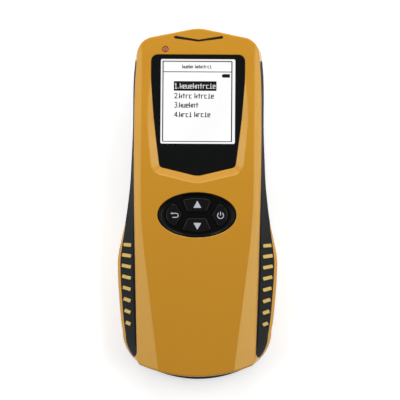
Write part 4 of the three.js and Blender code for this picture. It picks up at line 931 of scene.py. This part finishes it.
STROKES = {
    1: [[(0.6, 4.9), (2.1, 6.2)], [(2, 0), (2, 6.4)], [(0.7, 0.2), (3.3, 0.2)]],
    2: [
        [(0.4, 4.7), (0.9, 5.8), (2, 6.2), (3.1, 5.7), (3.4, 4.6), (2.9, 3.3), (1.7, 1.8), (0.4, 0.3)],
        [(0.3, 0.4), (3.8, 0.4)],
    ],
    3: [
        [(0.6, 5.4), (1.3, 6.1), (2.2, 6.2), (3.1, 5.6), (3.2, 4.6), (2.7, 3.8), (1.6, 3.4)],
        [(1.6, 3.4), (2.9, 3), (3.4, 2), (3, 0.8), (1.9, 0.2), (0.9, 0.4), (0.3, 1.2)],
    ],
    4: [[(2.8, 0), (2.8, 6.3)], [(2.9, 6.2), (0.3, 2)], [(0.1, 1.9), (3.9, 1.9)]],
}


DIGIT, PEN, THIN_PEN = 0.84, 0.52, 0.38  # scale of the strokes; pens in millimetres


def number_plate(name, number, px, foot, low):
    """Strokes in pixels of the photograph, each one a thin prism, joined to one plate."""
    pens = []
    for line in STROKES[number]:
        middle = [pixel(px + x * DIGIT, foot - y * DIGIT) for x, y in line]
        pens.append(prism(name, band(middle, THIN_PEN if number == 1 else PEN), low, low + INK))
    return combined(pens[0], "UNION", *pens[1:])


print("strokes for", list(STROKES))

# %% Rows: a number, a dot and words without meaning
PARTS = {
    "left": (0.12, 0, 0.12, 1), "right": (0.88, 0, 0.88, 1), "high": (0.88, 0.5, 0.88, 1),
    "rise": (0.12, 1, 0.12, 1.4), "pole": (0.5, 0, 0.5, 1.3),
    "roof": (0, 0.92, 1, 0.92), "belt": (0, 0.5, 1, 0.5), "foot": (0, 0.08, 1, 0.08),
}
SIGNS = [
    "rise left belt right", "pole foot", "left roof right", "left roof belt high foot", "pole roof",
    "left foot right", "left roof", "left high roof belt foot", "left roof foot",
]


def word(px, foot, count, pen, pitch=3.3, height=3.8, first=0):
    """A word of signs that mean nothing, each one made of a few bars."""
    boxes = []
    for n in range(count):
        left, wide = px + n * pitch, pitch * 0.8
        for part in SIGNS[(n * 2 + first) % len(SIGNS) if n else 0].split():
            x0, y0, x1, y1 = PARTS[part]
            side, up = (pen / 2, 0) if x0 == x1 else (0, pen * 0.4)
            boxes.append((
                left + x0 * wide - side, foot - y1 * height - up,
                left + x1 * wide + side, foot - y0 * height + up,
            ))
    return boxes


ROWS = [
    (88.8, [(179.9, 11)]), (98.7, [(179.3, 4), (194.7, 6)]), (107.9, [(179.3, 6)]),
    (117.4, [(179.3, 4), (194.5, 5)]),
]
for number, (foot, words) in enumerate(ROWS, 1):
    low, finish, pen = (PANEL_TOP + INK, ink_white, 0.6) if number == 1 else (PANEL_TOP, ink_black, 0.95)
    mark(number_plate(f"display_number_{number}", number, 174.3, foot, low), finish)
    boxes = [(177.9, foot - 0.9, 178.6, foot)]
    for start, count in words:
        boxes += word(start, foot, count, pen, first=number)
    mark(tiles(f"display_row_{number}", boxes, low), finish)
title = word(182.4, 68.5, 5, 0.7, 2.2, 2.5, 3) + word(195.1, 68.5, 8, 0.65, 2.12, 2.5, 5)
mark(tiles("display_heading", title), ink_mid)
print("four rows and a heading")

# %% Battery sign
x0, y0 = pixel(222, 77.7)
x1, y1 = pixel(230.1, 74.1)
sign = rounded(rectangle(x0, y0, x1, y1), [1, 0.2, 0.2, 1], 5)
mark(prism("display_battery_sign", sign, PANEL_TOP, PANEL_TOP + INK))

# %% [markdown]
# ## Keypad
#
# Four keys stand in a black oval dish: trapezoids above and below, and a rounded triangle on each side.
# Each key is a stack of loops that steps in round its top edge, because that thin rounded edge is what
# catches the light in the photograph. The signs are thin plates set into the top.

# %% Surround
PAD_EDGE = PAD_Y + 1.2
FACE_AT_PAD = min(face_z(PAD_CENTRE + PAD_EDGE), face_z(PAD_CENTRE - PAD_EDGE))
PAD_GAP, RIM_SINK, DISH_DEPTH, DISH_THICK, KEY_RISE = 0.2, 0.2, 0.9, 1.5, 0.55
DISH_RIM = FACE_AT_PAD - RIM_SINK
DISH_FLOOR = DISH_RIM - DISH_DEPTH
DISH_UNDER = DISH_FLOOR - DISH_THICK
KEY_TOP = DISH_RIM + KEY_RISE


def pad_ring(inset, level):
    ring = circle(PAD_Y - PAD_GAP - inset, 0, PAD_CENTRE, 96, PAD_X / PAD_Y)
    return at_level(ring, level)


surround = stack("keypad_dish", [
    pad_ring(0.2, DISH_UNDER), pad_ring(0, DISH_UNDER), pad_ring(0, DISH_RIM - 0.15),
    pad_ring(0.05, DISH_RIM - 0.04), pad_ring(0.16, DISH_RIM), pad_ring(0.42, DISH_RIM),
    pad_ring(0.55, DISH_RIM - 0.05), pad_ring(1.0, DISH_FLOOR + 0.32), pad_ring(1.4, DISH_FLOOR + 0.1),
    pad_ring(2.1, DISH_FLOOR + 0.01), pad_ring(3.0, DISH_FLOOR),
])
print("the dish rim is at", round(DISH_RIM, 2), "mm and the keys reach", round(KEY_TOP, 2), "mm")

# %% Key outlines
top_half, low_half, top_y, low_y = 0.365 * PAD_X, 0.236 * PAD_X, 0.76 * PAD_Y, 0.15 * PAD_Y
outer_y, peak_y = top_y - 1.3, top_y + 0.3
up_corners = [
    (-low_half, low_y), (low_half, low_y), (top_half, outer_y), (0, peak_y), (-top_half, outer_y),
]
side_outer, side_corner, side_inner = 0.776 * PAD_X, 0.553 * PAD_X, 0.384 * PAD_X
side_top = 0.516 * PAD_Y
bulge = side_outer - side_corner
arc_radius = (side_top ** 2 + bulge ** 2) / (2 * bulge)
arc_x = side_outer - arc_radius
arc_half = math.atan2(side_top, side_corner - arc_x)
power_corners = [(side_inner, 0), *arc(arc_x, 0, arc_radius, -arc_half, arc_half, 9)]
up_radii = [1, 1, 1.3, 24, 1.3]
power_radii = [1.2, 1.3] + [0] * 7 + [1.3]
down_corners = [(x, -y) for x, y in reversed(up_corners)]
back_corners = [(-x, y) for x, y in reversed(power_corners)]
KEYS = [
    ("up", up_corners, up_radii), ("down", down_corners, up_radii[::-1]),
    ("back", back_corners, power_radii[::-1]), ("power", power_corners, power_radii),
]
print("keys:", [name for name, *_ in KEYS])

# %% Keys
key_finish = moulded("key_black", paint(9, 10, 9), 0.2, 0.4, 0.006, 0.1, Specular_IOR_Level=0.3)
SIGN, KEY_GAP = 0.05, 0.22
top = KEY_TOP - SIGN
KEY_STEPS = [(0, DISH_UNDER), (0, top - 0.5), (-0.06, top - 0.28), (-0.2, top - 0.1), (-0.42, top)]
for name, corners, radii in KEYS:
    loop = [(x, y + PAD_CENTRE) for x, y in rounded(corners, radii)]
    combined(surround, "DIFFERENCE", prism("hole", moved_out(loop, KEY_GAP), UNDER, OVER))
    cap = stepped(f"{name}_key_cap", loop, KEY_STEPS)
    dressed(smoothed(cap, 40), key_finish, f"{name}_key", "keypad_black", f"key_{name}")
dressed(smoothed(surround, 32), keypad_black, "root", "keypad_black", "keypad_surround")

# %% Signs on the keys
sign_finish = ink("key_sign", paint(170, 173, 184), paint(170, 173, 184), 0)


def plate(name, loop, body):
    dressed(prism(name, loop, KEY_TOP - SIGN, KEY_TOP), sign_finish, body, "keypad_black")


TRIANGLES = {
    "up": [(194, 208.9), (201.9, 208.9), (197.95, 201.8)],
    "down": [(194, 223.9), (197.95, 230.8), (201.9, 223.9)],
}
for way, corners in TRIANGLES.items():
    plate(f"{way}_sign", rounded([pixel(*corner) for corner in corners], 0.15, 3), f"{way}_key")
centre_x, centre_y = pixel(221.1, 216.4)
ring = arc(centre_x, centre_y, 1.8, math.radians(125), math.radians(415), 34)
plate("power_ring", band(ring, PEN), "power_key")
bar = rectangle(centre_x - 0.24, centre_y - 0.1, centre_x + 0.24, centre_y + 2.4)
plate("power_bar", rounded(bar, 0.18, 4), "power_key")
print("up, down and power signs")

# %% Return sign
head_x, top_line = pixel(171.5, 214.5)
tail_x, low_line = pixel(172.9, 218.5)
bend_x = pixel(176.9, 215)[0]
half = (top_line - low_line) / 2
bend = arc(bend_x, low_line + half, half, math.pi / 2, -math.pi / 2, 15)
steps = np.linspace(0, 1, 5)[1:-1]
upper = [(head_x + 0.7 + (bend_x - head_x - 0.7) * t, top_line) for t in (0, *steps)]
lower = [(bend_x + (tail_x - bend_x) * t, low_line) for t in (*steps, 1)]
plate("return_line", band(upper + bend + lower, PEN), "back_key")
arrow = [(head_x - 0.3, top_line), (head_x + 0.9, top_line - 0.75), (head_x + 0.9, top_line + 0.75)]
plate("return_arrow", rounded(arrow, 0.1, 3), "back_key")
print("return sign")

# %% [markdown]
# ## Indicator lamp
#
# The lamp is a light pipe with a domed end, sunk in a shallow ring of the cover: pink in the middle and
# orange at the rim. A turned profile makes it, and a little emission gives its soft glow.

# %% Lamp
lamp_finish = Finish("lamp")
x, y, _ = lamp_finish.axes()
off_x, off_y = x - LAMP[0], y - LAMP[1]
glow = lamp_finish.step(off_x * off_x + off_y * off_y, 0.9, 1.9, 1, 0)
streaks = lamp_finish.noise(900, 2)
lamp_finish.done(
    Base_Color=lamp_finish.between(glow, paint(150, 66, 26), paint(150, 84, 72)),
    Roughness=0.18 + streaks * 0.06,
    Emission_Color=lamp_finish.between(glow, paint(120, 40, 16), paint(190, 96, 88)),
    Emission_Strength=0.08,
    Coat_Weight=0.3,
)
LAMP_LENS = [  # radius, and level over the face
    (1.95, -3.9), (1.95, -2.75), (1.68, -2.7), (1.68, -0.7), (1.58, -0.53), (1.25, -0.42), (0.7, -0.36),
    (0.2, -0.35),
]
lamp = round_lamp("lamp_lens", LAMP_LENS)
dressed(smoothed(lamp, 40), lamp_finish.material, "root", "lamp", "indicator_lamp")

# %% [markdown]
# ## The rear housing and the grips
#
# Under the cover the yellow housing swells into a flare on each side. A rubber grip is pressed into a
# recess there, flush with the shell, and eight slanted ribs of the shell come up through slots in it.
# Here the recess, the grips and the ribs are all cut from one family of skins, so they meet with the
# same narrow gap everywhere.

# %% Body of the housing
BASE_SEAM, FLARE_Z, GRIP_EDGE_Z, COVER_SEAM = 12, 24.5, 28, 38
FLARE_ROUND = (0.2, 0.42)
EDGE_ROUND = (0.35, 0.16)


def bent(before, corner, after, shares, steps):
    """Loops that round the corner between three loops."""
    start = corner + (before - corner) * shares[0]
    end = corner + (after - corner) * shares[1]
    return [
        start * (1 - t) ** 2 + corner * (2 * t * (1 - t)) + end * t * t
        for t in np.linspace(0, 1, steps)
    ]


def housing_body(name, inset=0.0, beyond=0.0):
    levels = [(FOOT, BASE_SEAM), (FLARE, FLARE_Z), (GRIP_EDGE, GRIP_EDGE_Z), (GROOVE, COVER_SEAM)]
    foot, flare, edge, groove = [np.array(at_level(outline(plan, inset), z)) for plan, z in levels]
    loops = [foot]
    loops += bent(foot, flare, edge, FLARE_ROUND, 7)
    loops += bent(flare, edge, groove, EDGE_ROUND, 5)
    loops.append(groove)
    if beyond:
        drop = np.array((0, 0, beyond))
        loops = [foot - drop, *loops, groove + drop]
    return stack(name, [[tuple(point) for point in loop] for loop in loops])


housing = housing_body("housing_shell")
print("housing skin:", len(housing.data.polygons), "faces")

# %% Band of the grips and the ribs
GRIP_HEAD, GRIP_TAIL, GRIP_TIP, GRIP_RAMP, GRIP_LOW = 86, -92, -7.98, 2.02, 13.5
GRIP_CORNERS = [3, 3, 2, 14, 5, 3]


def grip_band(name, grow):
    top = COVER_SEAM - 0.4 + grow
    corners = [
        (GRIP_HEAD + grow, top), (GRIP_TAIL - grow, top), (GRIP_TAIL - grow, GRIP_EDGE_Z - grow),
        (GRIP_TIP - grow, GRIP_EDGE_Z - grow), (GRIP_RAMP - grow, GRIP_LOW - grow),
        (GRIP_HEAD + grow, GRIP_LOW - grow),
    ]
    loop = rounded(corners, GRIP_CORNERS, 8)
    return stack(name, [[(x, y, z) for y, z in loop] for x in (-BEYOND, BEYOND)])


RIBS, RIB_FIRST, RIB_LAST, WIDENING = 8, -0.237, -0.686, 0.01
RIB_HALF, RIB_ROUND, RIB_IN, RIB_OUT, RIB_PROUD = 1, 0.35, 1.6, 0.9, 0.35
LEAST_TILT, MOST_TILT = 8, 25  # degrees


def rib_places():
    """The middle of each bar; the gaps widen towards the tail."""
    reach = [k * (1 + WIDENING * k) for k in range(RIBS)]
    for k in range(RIBS):
        yield k, (RIB_FIRST + (RIB_LAST - RIB_FIRST) * reach[k] / reach[-1]) * HALF_LENGTH


def rib_bars(side, grow):
    bars = []
    for k, y in rib_places():
        inner, outer = COVER_HALF + RIB_IN, grip_edge_width(y) - RIB_OUT
        tilt = math.radians(LEAST_TILT + (MOST_TILT - LEAST_TILT) * k / (RIBS - 1)) * side
        long, wide = (outer - inner) / 2 + grow, RIB_HALF + grow
        middle = side * (outer + inner) / 2
        loop = []
        for px, py in rounded(rectangle(-long, -wide, long, wide), RIB_ROUND + grow, 5):
            loop.append((
                middle + px * math.cos(tilt) - py * math.sin(tilt),
                y + px * math.sin(tilt) + py * math.cos(tilt),
            ))
        bars.append(prism("bar", loop, GRIP_EDGE_Z - grow, COVER_SEAM + grow))
    return bars


print("bars at y =", [round(y, 1) for _, y in rib_places()])

# %% Cut the housing
SEAT, HOUSING_WALL, HALF_WEB, GRIP_GAP = 1.4, 3.0, 0.95, 0.2
combined(housing, "DIFFERENCE", grip_band("band", GRIP_GAP))
combined(housing, "UNION", housing_body("seat", SEAT))
bars = rib_bars(1, 0) + rib_bars(-1, 0)
ribs = combined(bars[0], "UNION", *bars[1:])
combined(ribs, "INTERSECT", housing_body("rib_tops", -RIB_PROUD))
combined(ribs, "DIFFERENCE", housing_body("rib_feet", SEAT))
hollow = housing_body("hollow", HOUSING_WALL, 20)
for (x, y), post in zip(SCREWS, at_screws(POST, 0, ABOVE, 24)):
    start, end = sorted((x, math.copysign(BEYOND, x)))
    web = block("web", (start, y - HALF_WEB, 0), (end, y + HALF_WEB, ABOVE))
    combined(hollow, "DIFFERENCE", post, web)
RECESS_HALF, RECESS_Y, RECESS_LOW, RECESS_HIGH = 8.8, -101.8, 27, 36.6
PORT_HALF, PORT_Y, PORT_LOW, PORT_HIGH = 6, -100.3, 31.5, 36.5
combined(
    housing,
    "DIFFERENCE",
    hollow,
    block("flap_recess", (-RECESS_HALF, -PAST, RECESS_LOW), (RECESS_HALF, RECESS_Y, RECESS_HIGH)),
    block("port", (-PORT_HALF, -PAST, PORT_LOW), (PORT_HALF, PORT_Y, PORT_HIGH)),
    *at_screws(BORE, 0, ABOVE),
)
dressed(smoothed(housing, 30), yellow_shell, "root", "yellow_shell", "rear_housing")
ribs.name = "grip_ribs"
dressed(smoothed(ribs, 34), rib_yellow, "root", "yellow_shell", "rear_housing")

# %% Grips
GROOVE_LOW, GROOVE_HIGH = COVER_SEAM - 1.6, COVER_SEAM - 0.75
GROOVE_TAIL, GROOVE_HEAD, GROOVE_DEPTH = -86, 83, 0.8
MIDDLE_GAP = 10  # keeps a tool off the middle line
for side, name in ((-1, "left"), (1, "right")):
    grip = housing_body(f"{name}_grip_pad")
    start, end = sorted((side * MIDDLE_GAP, side * BEYOND))
    half = block("half", (start, -PAST, 0), (end, PAST, ABOVE))
    combined(grip, "INTERSECT", grip_band("band", 0), half)
    groove = block("groove", (start, GROOVE_TAIL, GROOVE_LOW), (end, GROOVE_HEAD, GROOVE_HIGH))
    combined(groove, "DIFFERENCE", housing_body("groove_floor", GROOVE_DEPTH))
    seat = housing_body("seat", SEAT - GRIP_GAP)
    combined(grip, "DIFFERENCE", seat, groove, *rib_bars(side, GRIP_GAP))
    dressed(smoothed(grip, 34), grip_rubber, "root", "grip_rubber", f"{name}_grip")

# %% [markdown]
# ## The base
#
# The base is the black lower shell that carries the wheels, the coils and the battery. Its outer wall is
# rebuilt with a rounded lower edge, and its floor and inner walls are taken over from the CAD node, so
# the wheel arches, the battery bay and the screw sinks stay exactly where the moving pieces need them.

# %% Base
UNDERSIDE, EDGE_IN, EDGE_UP = 3, 1.9, 1.6
SHELL, CORE_INSET = 2, 1.9  # the new wall, and the line inside which the CAD shape is kept
base_loops = []
for turn in np.linspace(0, math.pi / 2, 6):
    inset, level = EDGE_IN * (1 - math.sin(turn)), UNDERSIDE + EDGE_UP * (1 - math.cos(turn))
    base_loops.append(at_level(outline(BASE, inset), level))
base = stack("base_shell", [*base_loops, at_level(outline(BASE), BASE_SEAM)])
combined(base, "DIFFERENCE", prism("middle", outline(BASE, SHELL), 0, ABOVE))
core = placed("core", welded(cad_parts["base_cover"].data.copy()))
core.data.materials.clear()
combined(core, "INTERSECT", prism("region", outline(BASE, CORE_INSET), 0, ABOVE))
DOOR_HALF, DOOR_Y, DOOR_UNDER, DOOR_TOP = 24.3, 47.9, -5, 5
SLOT_HALF, SLOT_Y, SLOT_LOW = 25.6, 49.2, 3.8
combined(base, "UNION", core)
combined(
    base,
    "DIFFERENCE",
    block("door_way", (-DOOR_HALF, DOOR_Y, DOOR_UNDER), (DOOR_HALF, PAST, DOOR_TOP)),
    block("door_slot", (-SLOT_HALF, SLOT_Y, SLOT_LOW), (SLOT_HALF, PAST, DOOR_TOP)),
)
dressed(smoothed(base, 34), black_shell, "root", "black_shell", "base_cover")

# %% [markdown]
# ## Wheels
#
# Each wheel is a moulded dark hub in a rubber tyre. Both are turned shapes, so a profile is swept
# round the axle. The tyre has three shallow grooves, which keep it from sliding sideways on a wall.

# %% Turned wheels
def turned(name, profile, x, y, z, count=72):
    """A closed profile of radius and place along X, swept round an axle."""
    size = len(profile)
    points, faces = [], []
    for i in range(count):
        turn = 2 * math.pi * i / count
        points += [(x + along, y + r * math.cos(turn), z + r * math.sin(turn)) for r, along in profile]
        ahead = (i + 1) % count
        for k in range(size):
            j = (k + 1) % size
            faces.append((i * size + k, i * size + j, ahead * size + j, ahead * size + k))
    return mesh_piece(name, points, faces)


TYRE = [(9.4, 0), (10.9, 0), (11.4, 0.15), (11.8, 0.5), (12, 1)]
for groove in (1.9, 3.5, 5.1):
    TYRE += [(12, groove - 0.3), (11.6, groove - 0.2), (11.6, groove + 0.2), (12, groove + 0.3)]
TYRE += [(12, 6), (11.8, 6.5), (11.4, 6.85), (10.9, 7), (9.4, 7)]
HUB = [
    (2.2, 0), (3.9, 0), (4, 0.1), (4.1, 1.7), (4.4, 2), (7.7, 2), (8, 1.7), (8, 0.5), (8.1, 0.4),
    (9.1, 0.4), (9.2, 0.5), (9.2, 6.5), (9.1, 6.6), (8.1, 6.6), (8, 6.5), (8, 5.3), (7.7, 5),
    (4.4, 5), (4.1, 5.3), (4, 6.9), (3.9, 7), (2.2, 7),
]
AXLES, AXLE_HEIGHT = {"head": 33, "tail": -70}, 12
WHEEL_STARTS = {"left": -33.6, "right": 26.6}
KINDS = [("tyre", "rubber", TYRE, tyre_rubber), ("hub", "rim", HUB, hub_plastic)]
for end, y in AXLES.items():
    for hand, x in WHEEL_STARTS.items():
        for kind, shape, profile, finish in KINDS:
            piece = turned(f"{end}_{hand}_{kind}_{shape}", profile, x, y, AXLE_HEIGHT)
            dressed(smoothed(piece, 40), finish, f"{end}_wheels", kind, f"{end}_{hand}_{kind}")

# %% [markdown]
# ## The pieces that keep their CAD shape
#
# The door, the flap, the screws and everything inside have the right shape already. A CAD mesh is never
# changed; modifiers do the work: one small geometry node tree welds the faces and shades them smooth, a
# bevel breaks the edges sharper than an angle, and it hardens the normals beside them.

# %% Softening modifiers
soften_tree = bpy.data.node_groups.new("soften", "GeometryNodeTree")
for flow in ("INPUT", "OUTPUT"):
    soften_tree.interface.new_socket("Geometry", in_out=flow, socket_type="NodeSocketGeometry")
STAGES = [
    "NodeGroupInput", "GeometryNodeMergeByDistance", "GeometryNodeSetShadeSmooth", "NodeGroupOutput",
]
chain = [soften_tree.nodes.new(stage) for stage in STAGES]
chain[1].inputs["Distance"].default_value = WELD
for before, after in zip(chain, chain[1:]):
    soften_tree.links.new(before.outputs[0], after.inputs[0])
BEVEL_ANGLE, BEVEL_STEPS = 35, 2


def softened(piece, edge):
    """Break the hard edges of a CAD node without touching its mesh."""
    piece.modifiers.new("soften", "NODES").node_group = soften_tree
    bevel = piece.modifiers.new("edges", "BEVEL")
    bevel.width, bevel.segments, bevel.limit_method = edge * MM, BEVEL_STEPS, "ANGLE"
    bevel.angle_limit = math.radians(BEVEL_ANGLE)
    bevel.harden_normals = True


print("softening tree has", len(soften_tree.nodes), "nodes")

# %% [markdown]
# The inner pieces are seen when the instrument is taken apart, so their finishes are real too: brushed
# steel on the axles and screws, solder mask with faint tracks on the boards, enamelled copper wire laid
# side by side on the coils, and shrink film on the battery.

# %% Metal, board, chip, copper and battery finishes
def patterned(name, kind, settings, sockets, colours, roughness, gain, depth, strength, **more):
    """A finish whose tone, gloss and relief follow one pattern."""
    finish = Finish(name)
    place = finish.stretched(*sockets.pop("stretch")) if "stretch" in sockets else finish.place
    pattern = finish.node(kind, settings, {"Vector": place, **sockets})("Fac")
    finish.done(
        Base_Color=finish.between(pattern, *colours),
        Roughness=pattern * gain + roughness,
        Normal=finish.bumped(pattern, depth, strength),
        **more,
    )


patterned(
    "steel", "TexNoise", None, {"stretch": (60, 2600, 2600), "Scale": 1, "Detail": 4},
    tones(paint(184, 188, 192), 0.08), 0.22, 0.16, 0.01, 0.4, Metallic=1.0,
)
patterned(
    "board", "TexBrick", {"offset": 0.37, "squash": 0.6},
    {"Scale": 160.0, "Mortar Size": 0.035, "Brick Width": 0.9, "Row Height": 0.22},
    (paint(24, 84, 52), paint(40, 112, 70)), 0.34, 0.1, 0.03, 0.6, Coat_Weight=0.3,
)
moulded("chip", paint(32, 32, 34), 0.55, 0.25, 0.02, 0.12)
patterned(
    "copper", "TexWave", {"wave_type": "BANDS", "bands_direction": "Z"},
    {"Scale": 620.0, "Distortion": 0.4},
    (paint(128, 66, 30), paint(196, 116, 62)), 0.42, -0.14, 0.12, 0.9, Metallic=0.9,
)
patterned(
    "battery", "TexNoise", None, {"stretch": (90, 420, 420), "Scale": 1, "Detail": 3},
    tones(paint(44, 63, 102), 0.14), 0.3, 0.14, 0.12, 0.5, Coat_Weight=0.4,
)
print("inner finishes are ready")

# %% Finishes of the carried-over nodes
SMALL_EDGES = {"battery_door": 0.3, "port_flap": 0.3, "battery_pack": 0.4}
LEAST_EDGE = 0.12
for node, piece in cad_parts.items():
    for held in piece.material_slots:
        finish = FINISHES[held.material.name.split(".")[0]]
        held.link = "OBJECT"
        held.material = finish
    if not piece.hide_render:
        softened(piece, SMALL_EDGES.get(node, LEAST_EDGE))
print("finished nodes:", len(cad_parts))

# %% [markdown]
# ## Measure and finish
#
# The box of the CAD model and the box of the dressed model are both printed in millimetres, so that they
# can be set side by side. The dressed model has to stay inside the box of the CAD model.

# %% Boxes
visual_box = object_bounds()
boxes = {"cad": [list(corner) for corner in cad_box], "visual": [list(corner) for corner in visual_box]}
for label, box in boxes.items():
    print(label, [[round(v / MM, 2) for v in corner] for corner in box])
